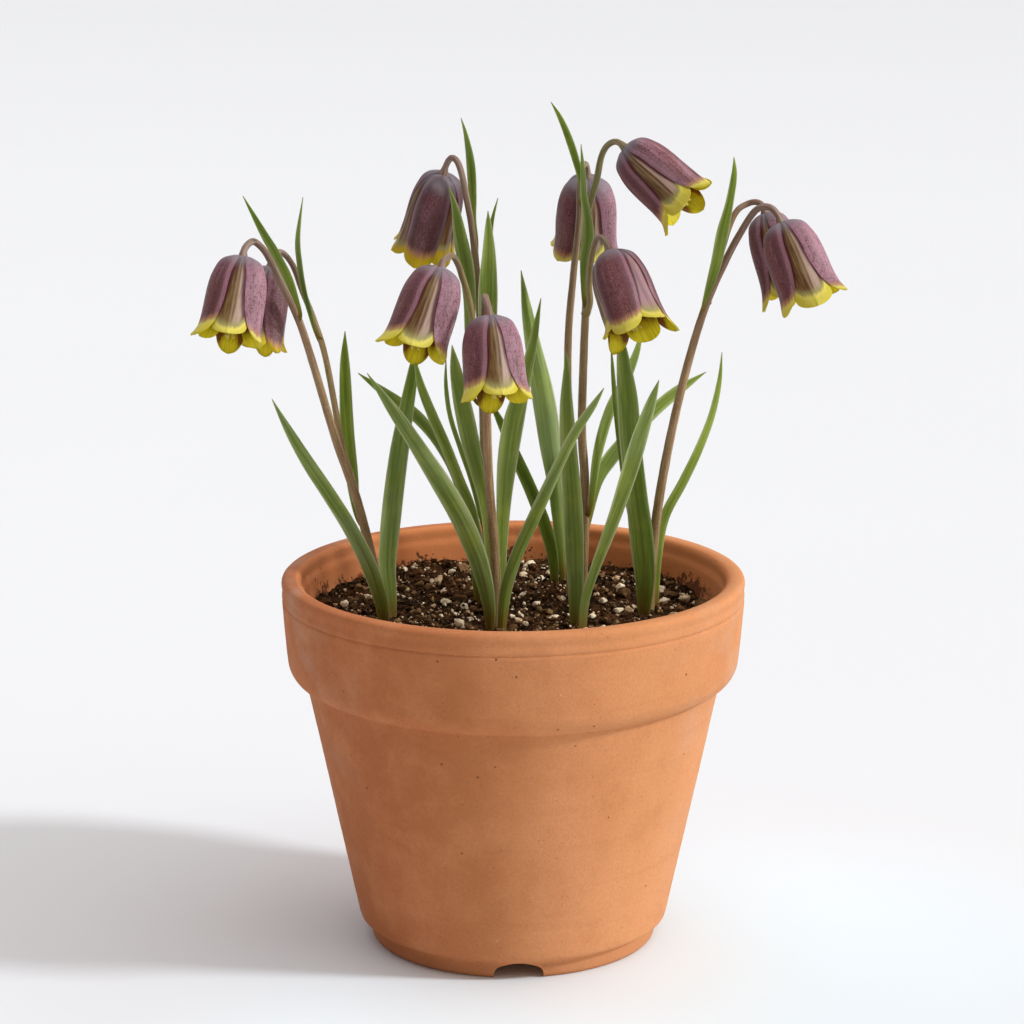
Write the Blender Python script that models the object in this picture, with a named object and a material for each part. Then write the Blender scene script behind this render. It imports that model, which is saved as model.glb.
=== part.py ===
"""Pot of small fritillaries: clay pot, soil, stems, leaves and nodding bell flowers.

Frame: metres, +Z up, floor at z = 0, the front faces -Y.
Lengths in the tables are millimetres where the name ends in _MM.
"""
import math

import bmesh
import bpy
from mathutils import Vector

for _old in list(bpy.data.objects):
    bpy.data.objects.remove(_old, do_unlink=True)

MM = 0.001
GAP = 0.0003                 # clearance between pieces that touch

# the pot stands this far from the middle of the whole plant's width
POT_AXIS_X = -0.00195
POT_AXIS_Y = 0.0

# ---------------------------------------------------------------- clay pot
POT_SIDES = 48
RIM_R_MM = 75.0              # outside of the collar at the lip
RIM_TOP_MM = 121.6
LIP_IN_R_MM = 68.7
COLLAR_LOW_Z_MM = 86.0       # where the body comes out from under the collar
BODY_TOP_R_MM = 66.5
BODY_LOW_R_MM = 50.2
BODY_LOW_Z_MM = 8.6
FOOT_R_MM = 46.3
FOOT_H_MM = 5.9
FOOT_IN_R_MM = 38.5
RECESS_MM = 4.6              # underside of the floor above the ground
FLOOR_TOP_MM = 11.0
DRAIN_R_MM = 7.0
NOTCH_W_MM = 16.0
NOTCH_H_MM = 5.1
NOTCH_ANGLES = (-87.8, 32.2, 152.2)

# ---------------------------------------------------------------- soil
SOIL_Z_MM = 108.3
SOIL_EDGE_R_MM = 66.4
SOIL_SIDES = 48
SOIL_RINGS = 8

# ---------------------------------------------------------------- front chart
# The plants are laid out on a front chart: u runs right and v down, in chart steps, on
# sight lines from one viewpoint in front of the pot.  A depth in millimetres behind the
# pot's axis then fixes the point on its sight line.
VIEW_DIST = 1.0798
VIEW_HEIGHT = 0.399
VIEW_DIP = math.radians(13.39)
VIEW_SCALE = 3439.0
VIEW_U0 = 513.2
VIEW_V0 = 512.0


def chart(u, v, depth_mm):
    """Point at the given depth on the sight line (u, v)."""
    y = depth_mm * MM
    dip = VIEW_DIP + math.atan((v - VIEW_V0) / VIEW_SCALE)
    z = VIEW_HEIGHT - (VIEW_DIST + y) * math.tan(dip)
    run = (VIEW_DIST + y) * math.cos(VIEW_DIP) + (VIEW_HEIGHT - z) * math.sin(VIEW_DIP)
    return Vector(((u - VIEW_U0) * run / VIEW_SCALE, y, z))


def step_at(point):
    """Metres per chart step at a point."""
    run = (VIEW_DIST + point.y) * math.cos(VIEW_DIP) + (VIEW_HEIGHT - point.z) * math.sin(VIEW_DIP)
    return run / VIEW_SCALE


EYE = Vector((0.0, -VIEW_DIST, VIEW_HEIGHT))

# ---------------------------------------------------------------- bell flowers
BELL_SIDES = 24
BELL_WALL_MM = 0.75
PISTIL_R_MM = 1.5
# name: apex (u, v, depth), middle of the mouth (u, v, depth), widest radius in mm, turn in degrees
FLOWERS = {
    "flower_a1": ((243, 257, -14), (229, 338, -27), 10.2, 0),
    "flower_a2": ((271, 266, 13), (258, 346, 4), 8.7, 18),
    "flower_b1": ((489, 316, -38), (496, 398, -50), 10.3, 0),
    "flower_c1": ((444, 173, 15), (424, 247, 23), 9.4, 60),
    "flower_c2": ((441, 268, -19), (414, 349, -31), 10.4, -8),
    "flower_d1": ((587, 176, 32), (584, 250, 40), 10.8, 50),
    "flower_g1": ((625, 148, 6), (688, 204, -5), 9.9, 4),
    "flower_g2": ((609, 251, -9), (637, 330, -21), 10.2, 12),
    "flower_h1": ((781, 223, -16), (812, 299, -28), 10.0, 8),
    "flower_h2": ((765, 213, 4), (791, 292, -6), 8.8, 14),
}

# ---------------------------------------------------------------- stems and flower stalks
STEM_SIDES = 8
# name: flower that it carries, foot radius, top radius (mm), root, points (u, v, depth)
STEMS = {
    "stem_a": ("flower_a1", 1.7, 1.05, "soil", [
        (382, 611, 2), (376, 575, 3), (357, 500, 4), (336, 440, 4), (312, 360, 2),
        (298, 318, 0), (281, 283, -1), (268, 256, -2), (258, 244, -5), (251, 242, -9)]),
    "stalk_a2": ("flower_a2", 1.1, 0.95, "stem", [
        (349, 470, 8), (341, 440, 9), (326, 360, 15), (314, 320, 18),
        (302, 290, 20), (295, 270, 21), (288, 258, 20), (280, 252, 17)]),
    "stem_b": ("flower_b1", 1.8, 1.1, "soil", [
        (496, 624, -14), (495, 560, -16), (489, 480, -21), (487, 418, -25),
        (485, 340, -28), (485, 306, -29), (485, 297, -32)]),
    "stem_c": ("flower_c1", 1.7, 1.0, "soil", [
        (490, 604, 12), (487, 540, 12), (484, 440, 12), (481, 340, 12), (477, 275, 12),
        (472, 228, 11), (467, 200, 9.5), (462, 175, 9.5), (457, 161, 10.5), (451, 158, 13)]),
    "stalk_c2": ("flower_c2", 1.15, 1.0, "stem", [
        (477, 360, 8.2), (474, 335, 4), (471, 310, 0), (467, 292, -3), (462, 276, -6),
        (458, 264, -9), (452, 256, -13)]),
    "stem_d": ("flower_d1", 1.7, 1.0, "soil", [
        (571, 598, 20), (569, 480, 21), (568, 350, 23), (573, 280, 23),
        (579, 222, 23), (580, 185, 23), (582, 168, 25), (585, 164, 29)]),
    "stem_g": ("flower_g1", 1.8, 1.0, "soil", [
        (582, 602, 14), (585, 490, 14), (582, 430, 14), (584, 350, 14.5), (586, 298, 15),
        (585, 250, 17), (586, 222, 17), (591, 200, 14), (597, 178, 13), (601, 158, 12),
        (606, 147, 10.5), (613, 142, 9)]),
    "stalk_g2": ("flower_g2", 1.1, 1.0, "stem", [
        (590, 302, 11), (589, 285, 8.5), (590, 268, 5), (593, 250, 1),
        (597, 239, -3), (602, 238, -6)]),
    "stem_h": ("flower_h1", 1.8, 1.05, "soil", [
        (649, 608, 6), (655, 530, 4), (667, 455, 0), (685, 375, -2), (705, 308, -4),
        (726, 260, -5.5), (741, 232, -7), (754, 212, -9), (763, 207, -10.5), (771, 208, -12)]),
    "stalk_h2": ("flower_h2", 1.1, 0.95, "stem", [
        (709, 290, -1), (717, 268, 1), (728, 230, 3), (737, 211, 4.5),
        (747, 204, 6), (756, 202, 5.5)]),
}

# ---------------------------------------------------------------- leaves
# name: root, channel depth as a share of the half width (positive: open to the front),
# turn of the blade about its length in degrees, cross-section points,
# points from root to tip (u, v, depth, full width in chart steps)
LEAVES = {
    "leaf_a1": ("soil", 0.30, 18, 8, [
        (384, 622, -11, 11), (381, 600, -13, 14), (369, 565, -16, 16), (350, 527, -19, 15),
        (330, 495, -23, 14.5), (310, 465, -26, 13), (290, 432, -29, 9), (272, 399, -32, 0)]),
    "leaf_a2": ("soil", 0.28, -12, 8, [
        (392, 619, -6, 9), (389, 590, -6, 15), (387, 562, -5, 18), (391, 515, -2, 20),
        (398, 458, 3, 19), (406, 410, 8, 15), (413, 370, 12, 10), (416, 345, 15, 0)]),
    "leaf_a3": ("stem", 0.25, 25, 4, [
        (300, 311, -2.6, 4), (289, 280, -4, 9), (276, 254, -6, 9), (266, 237, -9, 8),
        (257, 221, -12, 6), (243, 196, -17, 0)]),
    "leaf_a4": ("stem", 0.25, 30, 4, [
        (315, 331, 14.6, 3), (310, 312, 15, 5), (304, 290, 15.5, 6), (300, 265, 17, 6),
        (298, 238, 19, 5), (303, 197, 22, 0)]),
    "leaf_a5": ("stem", 0.28, 20, 4, [
        (358, 518, 7.6, 5), (355, 500, 9.5, 9), (352, 472, 13, 13), (348, 435, 16.5, 14),
        (346, 395, 19.5, 13), (345, 360, 22, 9), (345, 331, 24, 0)]),
    "leaf_b1": ("soil", -0.22, 20, 8, [
        (490, 627, -21, 9), (488, 600, -23, 14), (478, 560, -26, 19), (462, 521, -29, 21),
        (441, 484, -32, 20), (418, 448, -35, 16.5), (394, 412, -38, 12), (367, 373, -42, 0)]),
    "leaf_b2": ("soil", -0.22, -22, 8, [
        (502, 627, -21, 9), (506, 590, -23, 12), (518, 553, -26, 12.5), (537, 512, -29, 13),
        (556, 471, -33, 11.5), (575, 433, -37, 10), (593, 406, -41, 7), (604, 388, -44, 0)]),
    "leaf_b3": ("soil", 0.25, 28, 8, [
        (488, 617, -9, 6), (483, 570, -8, 9), (473, 515, -7, 11), (459, 478, -7, 11),
        (446, 446, -7, 11), (433, 416, -7, 10), (421, 385, -7, 8), (414, 355, -7, 0)]),
    "leaf_b4": ("stem", 0.2, 10, 4, [
        (482, 522, 7.6, 4), (472, 482, 8, 5), (460, 447, 8.5, 5), (450, 415, 9, 5),
        (446, 385, 9.5, 4), (446, 358, 10, 0)]),
    "leaf_b5": ("soil", 0.30, -25, 8, [
        (490, 609, 6, 6), (489, 560, 5, 8), (485, 510, 3.5, 10), (478, 475, 2.5, 15),
        (469, 438, 1.5, 19), (461, 400, 0.5, 17), (455, 368, -1, 11), (452, 345, -3, 0)]),
    "leaf_b6": ("soil", 0.25, 30, 8, [
        (478, 602, 14, 6), (471, 540, 14, 8), (458, 482, 16, 9), (440, 445, 18, 10),
        (419, 418, 21, 12), (398, 402, 24, 12), (376, 386, 27, 7), (358, 373, 30, 0)]),
    "leaf_b7": ("soil", 0.30, -20, 8, [
        (501, 620, -9, 8), (501, 570, -10, 10), (503, 510, -11, 14), (507, 460, -10, 20),
        (513, 422, -8, 20.5), (524, 380, -6, 13), (533, 340, -3, 9), (541, 298, 1, 0)]),
    "leaf_c1": ("stem", 0.25, 25, 4, [
        (473, 395, 11.5, 4), (470, 350, 10.5, 9), (470, 303, 6, 12), (467, 270, 3.5, 15),
        (461, 238, 3, 14), (456, 210, 2.5, 8), (449, 187, 2, 0)]),
    "leaf_c2": ("stem", 0.28, -25, 4, [
        (489, 412, 9.5, 5), (487, 370, 8, 12), (487, 325, 6.5, 18), (487, 292, 5.5, 19),
        (488, 258, 4, 15), (488, 230, 1, 8), (488, 211, -2, 0)]),
    "leaf_c3": ("stem", 0.22, 30, 4, [
        (477, 240, 15, 3), (474, 220, 16, 5), (473, 195, 18, 8), (471, 163, 20, 9),
        (466, 135, 22, 4.5), (461, 118, 24, 0)]),
    "leaf_c4": ("stem", 0.22, 35, 4, [
        (488, 352, 12.6, 3), (489, 315, 13, 7), (489, 270, 14, 8), (491, 228, 15, 5),
        (498, 198, 17, 0)]),
    "leaf_e1": ("soil", 0.28, 25, 8, [
        (555, 583, 38, 8), (553, 556, 38, 11), (546, 528, 36, 13), (533, 494, 33, 13),
        (518, 460, 28, 12), (503, 426, 23, 9), (487, 395, 19, 0)]),
    "leaf_e2": ("soil", -0.25, -20, 8, [
        (565, 582, 40, 8), (560, 530, 41, 12), (556, 485, 42, 16), (551, 447, 43, 21),
        (547, 415, 44, 23), (541, 380, 46, 21.5), (533, 342, 48, 16), (527, 308, 50, 10.5),
        (521, 270, 52, 0)]),
    "leaf_f1": ("soil", 0.30, 22, 8, [
        (575, 627, -16, 10), (576, 590, -15, 15), (575, 550, -13, 19.5), (573, 500, -10, 20),
        (569, 445, -7, 17), (567, 405, -4, 13), (567, 372, -1, 7), (566, 350, 2, 0)]),
    "leaf_f2": ("soil", 0.25, -28, 8, [
        (582, 631, -22, 8), (585, 600, -23, 9), (596, 565, -25, 10.5), (613, 520, -28, 13),
        (626, 480, -31, 15.5), (638, 441, -34, 15.5), (650, 404, -37, 10.5), (659, 380, -40, 0)]),
    "leaf_g1": ("stem", 0.25, -25, 4, [
        (590, 508, 12, 5), (597, 455, 13, 10), (609, 412, 17, 11), (624, 382, 21, 10.5),
        (636, 353, 25, 7), (643, 325, 29, 0)]),
    "leaf_g2": ("stem", 0.28, -30, 4, [
        (589, 520, 17.6, 5), (596, 482, 21, 12), (610, 458, 25, 15), (633, 431, 30, 14),
        (657, 407, 35, 13), (678, 390, 39, 10.5), (706, 372, 44, 0)]),
    "leaf_g3": ("stem", 0.30, 10, 4, [
        (584, 301, 11.6, 4), (584, 280, 12, 7), (585, 260, 12.2, 10), (588, 238, 12, 13),
        (587, 215, 10, 10), (584, 195, 8, 7), (583, 170, 5, 5), (581, 144, 1, 0)]),
    "leaf_d1": ("stem", 0.25, 20, 4, [
        (581, 196, 20, 3), (581, 180, 18, 6), (576, 160, 15, 7.5), (569, 138, 11, 7.5),
        (560, 117, 6, 5), (551, 102, 1, 0)]),
    "leaf_h1": ("soil", 0.25, -30, 8, [
        (655, 606, 11, 7), (657, 560, 11, 8.5), (664, 518, 12, 10), (683, 481, 13, 9.5),
        (698, 450, 15, 9), (711, 416, 18, 7.5), (719, 382, 21, 5), (722, 352, 24, 0)]),
    "leaf_h2": ("soil", 0.28, 15, 8, [
        (644, 613, 0, 12), (645, 577, -1, 20), (642, 537, -2, 24), (637, 495, -3, 22),
        (631, 440, -4, 22), (628, 398, -4, 20.5), (623, 356, -3, 12), (619, 325, -1, 0)]),
    "leaf_h3": ("soil", 0.2, 20, 4, [
        (640, 607, 8, 4), (634, 540, 8, 5), (625, 485, 9, 5), (619, 440, 11, 5), (615, 400, 13, 5),
        (613, 372, 15, 4), (611, 345, 17, 0)]),
    "leaf_h4": ("stem", 0.30, -15, 4, [
        (704, 303, -7, 4), (709, 287, -8, 7.5), (716, 263, -9, 11), (722, 233, -11, 12),
        (729, 204, -14, 8.5), (734, 175, -17, 6), (734, 157, -19, 0)]),
}

# colour (linear), roughness
CLAY = ((0.46, 0.18, 0.075), 0.85)
EARTH = ((0.045, 0.026, 0.016), 0.95)
GREEN = ((0.11, 0.19, 0.055), 0.55)
STALK = ((0.24, 0.14, 0.09), 0.5)
PLUM = ((0.16, 0.055, 0.085), 0.55)


def material(name, look):
    mat = bpy.data.materials.new(name)
    mat.use_nodes = True
    bsdf = mat.node_tree.nodes["Principled BSDF"]
    colour, rough = look
    bsdf.inputs["Base Color"].default_value = (*colour, 1.0)
    bsdf.inputs["Roughness"].default_value = rough
    bsdf.inputs["Metallic"].default_value = 0.0
    mat.diffuse_color = (*colour, 1.0)
    return mat


POT_AXIS = bpy.data.objects.new("pot_axis", None)
bpy.context.scene.collection.objects.link(POT_AXIS)
POT_AXIS.location = (POT_AXIS_X, POT_AXIS_Y, 0.0)


def add_object(name, bm, mat, smooth_angle=40.0):
    bmesh.ops.recalc_face_normals(bm, faces=bm.faces[:])
    bmesh.ops.triangulate(bm, faces=bm.faces[:])
    mesh = bpy.data.meshes.new(name)
    bm.to_mesh(mesh)
    bm.free()
    mesh.shade_smooth()
    mesh.set_sharp_from_angle(angle=math.radians(smooth_angle))
    mesh.materials.append(mat)
    obj = bpy.data.objects.new(name, mesh)
    bpy.context.scene.collection.objects.link(obj)
    obj.parent = POT_AXIS
    return obj


def ring_faces(bm, a, b):
    n = len(a)
    for i in range(n):
        j = (i + 1) % n
        bm.faces.new((a[i], a[j], b[j], b[i]))


def pole_faces(bm, ring, pole):
    n = len(ring)
    for i in range(n):
        bm.faces.new((ring[i], ring[(i + 1) % n], pole))


def arc(cx, cz, radius, start, end, steps):
    """Points on an arc in the profile plane, angles in degrees."""
    pts = []
    for k in range(steps + 1):
        a = math.radians(start + (end - start) * k / steps)
        pts.append((cx + radius * math.cos(a), cz + radius * math.sin(a)))
    return pts


# ---------------------------------------------------------------- pot
def pot_profile():
    """Closed profile (radius, height) in mm, from the drain hole out and round."""
    p = [(DRAIN_R_MM, RECESS_MM), (FOOT_IN_R_MM - 1.5, RECESS_MM), (FOOT_IN_R_MM, RECESS_MM - 1.5),
         (FOOT_IN_R_MM + 0.6, 0.0), (FOOT_R_MM - 0.8, 0.0), (FOOT_R_MM, 0.9),
         (FOOT_R_MM + 0.3, FOOT_H_MM - 0.6), (FOOT_R_MM + 1.2, FOOT_H_MM),
         (BODY_LOW_R_MM - 1.0, FOOT_H_MM + 0.8), (BODY_LOW_R_MM, BODY_LOW_Z_MM)]
    for k in range(1, 4):
        t = k / 4.0
        p.append((BODY_LOW_R_MM + (BODY_TOP_R_MM - BODY_LOW_R_MM) * t,
                  BODY_LOW_Z_MM + (COLLAR_LOW_Z_MM - BODY_LOW_Z_MM) * t))
    p.append((BODY_TOP_R_MM, COLLAR_LOW_Z_MM))
    # the collar's rounded under-edge
    p.append((BODY_TOP_R_MM + 2.1, COLLAR_LOW_Z_MM + 2.4))
    p += arc(BODY_TOP_R_MM + 0.9, COLLAR_LOW_Z_MM + 9.2, 5.6, -48.0, -2.0, 3)
    p += [(RIM_R_MM - 1.1, 103.0), (RIM_R_MM - 0.4, 113.4), (RIM_R_MM - 0.45, 114.6),
          (RIM_R_MM, 116.2), (RIM_R_MM - 0.7, 120.2), (RIM_R_MM - 2.0, RIM_TOP_MM - 0.1)]
    # the lip rolls in
    p += [(LIP_IN_R_MM + 2.2, RIM_TOP_MM), (LIP_IN_R_MM + 0.7, RIM_TOP_MM - 0.6),
          (LIP_IN_R_MM, RIM_TOP_MM - 2.2), (LIP_IN_R_MM - 0.1, RIM_TOP_MM - 4.4),
          (LIP_IN_R_MM - 1.0, RIM_TOP_MM - 6.2)]
    p += [(SOIL_EDGE_R_MM + 0.9, 110.0), (59.6, 80.0), (51.9, 45.0), (46.2, 19.0),
          (44.2, FLOOR_TOP_MM + 2.2), (40.5, FLOOR_TOP_MM), (DRAIN_R_MM + 0.6, FLOOR_TOP_MM)]
    return p


def build_pot():
    bm = bmesh.new()
    profile = pot_profile()
    rings = []
    for r, z in profile:
        ring = []
        for k in range(POT_SIDES):
            a = 2.0 * math.pi * k / POT_SIDES
            ring.append(bm.verts.new((r * MM * math.cos(a), r * MM * math.sin(a), z * MM)))
        rings.append(ring)
    for i in range(len(rings)):
        ring_faces(bm, rings[i], rings[(i + 1) % len(rings)])
    pot = add_object("pot", bm, material("pot_clay", CLAY), 30.0)

    # three arched notches through the foot ring let the water out
    bm = bmesh.new()
    steps = 10
    for angle in NOTCH_ANGLES:
        a = math.radians(angle)
        out = Vector((math.cos(a), math.sin(a), 0.0))
        side = Vector((-math.sin(a), math.cos(a), 0.0))
        ends = []
        for dist in (FOOT_IN_R_MM - 8.0, FOOT_R_MM + 5.0):
            ring = []
            for k in range(steps + 1):
                t = math.pi * k / steps
                c, s = math.cos(t), math.sin(t)
                x = NOTCH_W_MM / 2 * math.copysign(abs(c) ** 0.9, c)
                z = NOTCH_H_MM * abs(s) ** 0.62
                ring.append(bm.verts.new(out * dist * MM + side * x * MM + Vector((0, 0, z * MM))))
            ring.append(bm.verts.new(out * dist * MM + side * (-NOTCH_W_MM / 2) * MM + Vector((0, 0, -3 * MM))))
            ring.append(bm.verts.new(out * dist * MM + side * (NOTCH_W_MM / 2) * MM + Vector((0, 0, -3 * MM))))
            ends.append(ring)
        ring_faces(bm, ends[0], ends[1])
        bm.faces.new(ends[0])
        bm.faces.new(ends[1])
    cutter = add_object("notch_cutter", bm, pot.data.materials[0])
    cutter.hide_render = True
    cutter.display_type = "WIRE"
    cut = pot.modifiers.new("foot_notches", "BOOLEAN")
    cut.operation = "DIFFERENCE"
    cut.solver = "EXACT"
    cut.object = cutter
    return pot


# ---------------------------------------------------------------- soil
def soil_height(x_mm, y_mm):
    """Height of the soil's surface in mm: gently uneven, with a hollow left of the middle."""
    h = SOIL_Z_MM
    h += 0.5 * math.sin(x_mm / 13.0 + 0.8) * math.cos(y_mm / 15.0)
    h += 0.4 * math.sin(y_mm / 11.0 - x_mm / 19.0)
    h -= 2.0 * math.exp(-((x_mm + 21.0) ** 2 + (y_mm - 6.0) ** 2) / (2 * 10.0 ** 2))
    h -= 0.9 * math.exp(-((x_mm - 56.0) ** 2 + (y_mm - 20.0) ** 2) / (2 * 14.0 ** 2))
    h += 0.9 * math.exp(-((x_mm - 6.0) ** 2 + (y_mm - 58.0) ** 2) / (2 * 20.0 ** 2))
    return h


def pot_inner_radius(z_mm):
    """Inner radius of the pot at a height, along the straight runs of its inner wall."""
    runs = [(FLOOR_TOP_MM + 2.2, 44.2), (19.0, 46.2), (45.0, 51.9), (80.0, 59.6),
            (110.0, SOIL_EDGE_R_MM + 0.9)]
    for (z0, r0), (z1, r1) in zip(runs, runs[1:]):
        if z_mm <= z1:
            return r0 + (r1 - r0) * (z_mm - z0) / (z1 - z0)
    return runs[-1][1]


def build_soil():
    bm = bmesh.new()
    facet = math.cos(math.pi / SOIL_SIDES)

    def ring_at(radius, height):
        ring = []
        for k in range(SOIL_SIDES):
            a = 2.0 * math.pi * k / SOIL_SIDES
            x, y = radius * math.cos(a), radius * math.sin(a)
            z = height(x, y) if callable(height) else height
            ring.append(bm.verts.new((x * MM, y * MM, z * MM)))
        return ring

    gap = GAP / MM
    top = bm.verts.new((0, 0, soil_height(0, 0) * MM))
    rings = []
    for k in range(1, SOIL_RINGS + 1):
        rings.append(ring_at((SOIL_EDGE_R_MM - 0.4) * k / SOIL_RINGS, soil_height))
    for z in (80.0, 45.0, 19.0, FLOOR_TOP_MM + 2.2 + gap):
        rings.append(ring_at(pot_inner_radius(z) - gap * 1.3 - (0.1 if z < 20 else 0.0), z))
    rings.append(ring_at(40.2 - gap, FLOOR_TOP_MM + gap * 1.2))
    pole_faces(bm, rings[0], top)
    for a, b in zip(rings, rings[1:]):
        ring_faces(bm, a, b)
    bottom = bm.verts.new((0, 0, (FLOOR_TOP_MM + gap * 1.2) * MM))
    pole_faces(bm, rings[-1], bottom)
    return add_object("soil", bm, material("potting_soil", EARTH), 60.0)


# ---------------------------------------------------------------- smooth curves
def smooth_curve(points, stations):
    """Even stations along a smooth curve through points: each point is (Vector, extra numbers)."""
    n = len(points)

    def knot(i):
        i = max(0, min(n - 1, i))
        return points[i]

    fine = []
    per = 12
    for i in range(n - 1):
        p0, p1, p2, p3 = knot(i - 1), knot(i), knot(i + 1), knot(i + 2)
        for k in range(per):
            t = k / per
            weights = (-0.5 * t + t * t - 0.5 * t ** 3,
                       1 - 2.5 * t * t + 1.5 * t ** 3,
                       0.5 * t + 2 * t * t - 1.5 * t ** 3,
                       -0.5 * t * t + 0.5 * t ** 3)
            vec = sum((p[0] * w for p, w in zip((p0, p1, p2, p3), weights)), Vector((0, 0, 0)))
            extra = p1[1] + (p2[1] - p1[1]) * t
            fine.append((vec, extra))
    fine.append((points[-1][0].copy(), points[-1][1]))
    length = [0.0]
    for a, b in zip(fine, fine[1:]):
        length.append(length[-1] + (b[0] - a[0]).length)
    out = []
    j = 0
    for s in range(stations):
        want = length[-1] * s / (stations - 1)
        while j < len(length) - 2 and length[j + 1] < want:
            j += 1
        t = (want - length[j]) / max(length[j + 1] - length[j], 1e-12)
        t = min(max(t, 0.0), 1.0)
        out.append((fine[j][0].lerp(fine[j + 1][0], t), fine[j][1] + (fine[j + 1][1] - fine[j][1]) * t))
    return out


def tangents(points):
    out = []
    for i in range(len(points)):
        a = points[max(0, i - 1)]
        b = points[min(len(points) - 1, i + 1)]
        out.append((b - a).normalized())
    return out


def snap_to_soil(ring):
    """Stand a ring of vertices just clear of the soil's surface."""
    for vert in ring:
        vert.co.z = (soil_height(vert.co.x / MM, vert.co.y / MM)) * MM + 2 * GAP


# ---------------------------------------------------------------- flowers
def bell_radius(s, length, widest):
    """Radius of the bell at a distance s (mm) under its apex."""
    shoulder = 0.45 * length
    if s < shoulder:
        r = widest * (1 - (1 - s / shoulder) ** 2.2) ** (1 / 2.2)
    else:
        r = widest
    r += 0.03 * widest * max(0.0, s / length - 0.45) / 0.55
    r += 0.10 * widest * max(0.0, (s / length - 0.8) / 0.2) ** 2
    return r


def flower_frame(name):
    apex_c, mouth_c, widest, turn = FLOWERS[name]
    apex, mouth = chart(*apex_c), chart(*mouth_c)
    axis = (mouth - apex)
    length = axis.length / MM
    axis.normalize()
    front = (EYE - apex).normalized()
    front = (front - axis * front.dot(axis)).normalized()
    side = axis.cross(front).normalized()
    return apex, axis, front, side, length, widest, math.radians(turn)


def build_flower(name, mat):
    apex, axis, front, side, length, widest, turn = flower_frame(name)
    bm = bmesh.new()

    def vert(radius, s, a):
        return bm.verts.new(apex + axis * (s * MM) + (front * math.cos(a) + side * math.sin(a)) * (radius * MM))

    angles = [2.0 * math.pi * k / BELL_SIDES + turn for k in range(BELL_SIDES)]

    def edge(a):
        a = a - turn
        return length * (0.985 + 0.05 * math.cos(6 * a) - 0.03 * math.cos(3 * a))

    rings = []
    for frac in (0.012, 0.06, 0.17, 0.42, 0.74):
        s = frac * length
        rings.append([vert(bell_radius(s, length, widest), s, a) for a in angles])
    rings.append([vert(bell_radius(edge(a), length, widest), edge(a), a) for a in angles])
    rings.append([vert(bell_radius(edge(a), length, widest) - BELL_WALL_MM, edge(a) - 0.2, a) for a in angles])
    for frac in (0.62, 0.22):
        s = frac * length
        rings.append([vert(bell_radius(s, length, widest) - BELL_WALL_MM, s, a) for a in angles])
    top_in = 0.065 * length
    rings.append([vert(PISTIL_R_MM, top_in, a) for a in angles])
    rings.append([vert(PISTIL_R_MM, 0.80 * length, a) for a in angles])
    for a, b in zip(rings, rings[1:]):
        ring_faces(bm, a, b)
    pole_faces(bm, rings[0], bm.verts.new(apex))
    pole_faces(bm, rings[-1], bm.verts.new(apex + axis * (0.85 * length * MM)))
    return add_object(name, bm, mat, 50.0)


# ---------------------------------------------------------------- stems
def build_stem(name, mat):
    flower, foot_r, top_r, root, marks = STEMS[name]
    points = [(chart(*m), 0.0) for m in marks]
    apex, axis = flower_frame(flower)[:2]
    points.append((apex - axis * (2.6 * MM), 0.0))
    points.append((apex - axis * (1.3 * GAP), 0.0))
    stations = 18 if root == "soil" else 12
    path = smooth_curve(points, stations * 3 + 1)
    # stations are closer together where the stalk hooks over
    keep, turn_sum = [0], 0.0
    tang = tangents([p[0] for p in path])
    for i in range(1, len(path) - 1):
        turn_sum += tang[i].angle(tang[i - 1])
        if turn_sum > math.radians(17) or i - keep[-1] >= 6:
            keep.append(i)
            turn_sum = 0.0
    keep.append(len(path) - 1)
    bm = bmesh.new()
    normal = Vector((0, -1, 0))
    rings = []
    for i in keep:
        t = tang[i] if i not in (0, len(path) - 1) else (
            axis if i else (path[1][0] - path[0][0]).normalized())
        normal = (normal - t * normal.dot(t)).normalized()
        other = t.cross(normal)
        f = i / (len(path) - 1)
        radius = (foot_r + (top_r - foot_r) * f ** 0.8) * MM
        ring = []
        for k in range(STEM_SIDES):
            a = 2.0 * math.pi * k / STEM_SIDES
            ring.append(bm.verts.new(path[i][0] + (normal * math.cos(a) + other * math.sin(a)) * radius))
        rings.append(ring)
    if root == "soil":
        snap_to_soil(rings[0])
    for a, b in zip(rings, rings[1:]):
        ring_faces(bm, a, b)
    bm.faces.new(rings[0])
    bm.faces.new(rings[-1])
    return add_object(name, bm, mat, 60.0)


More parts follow.
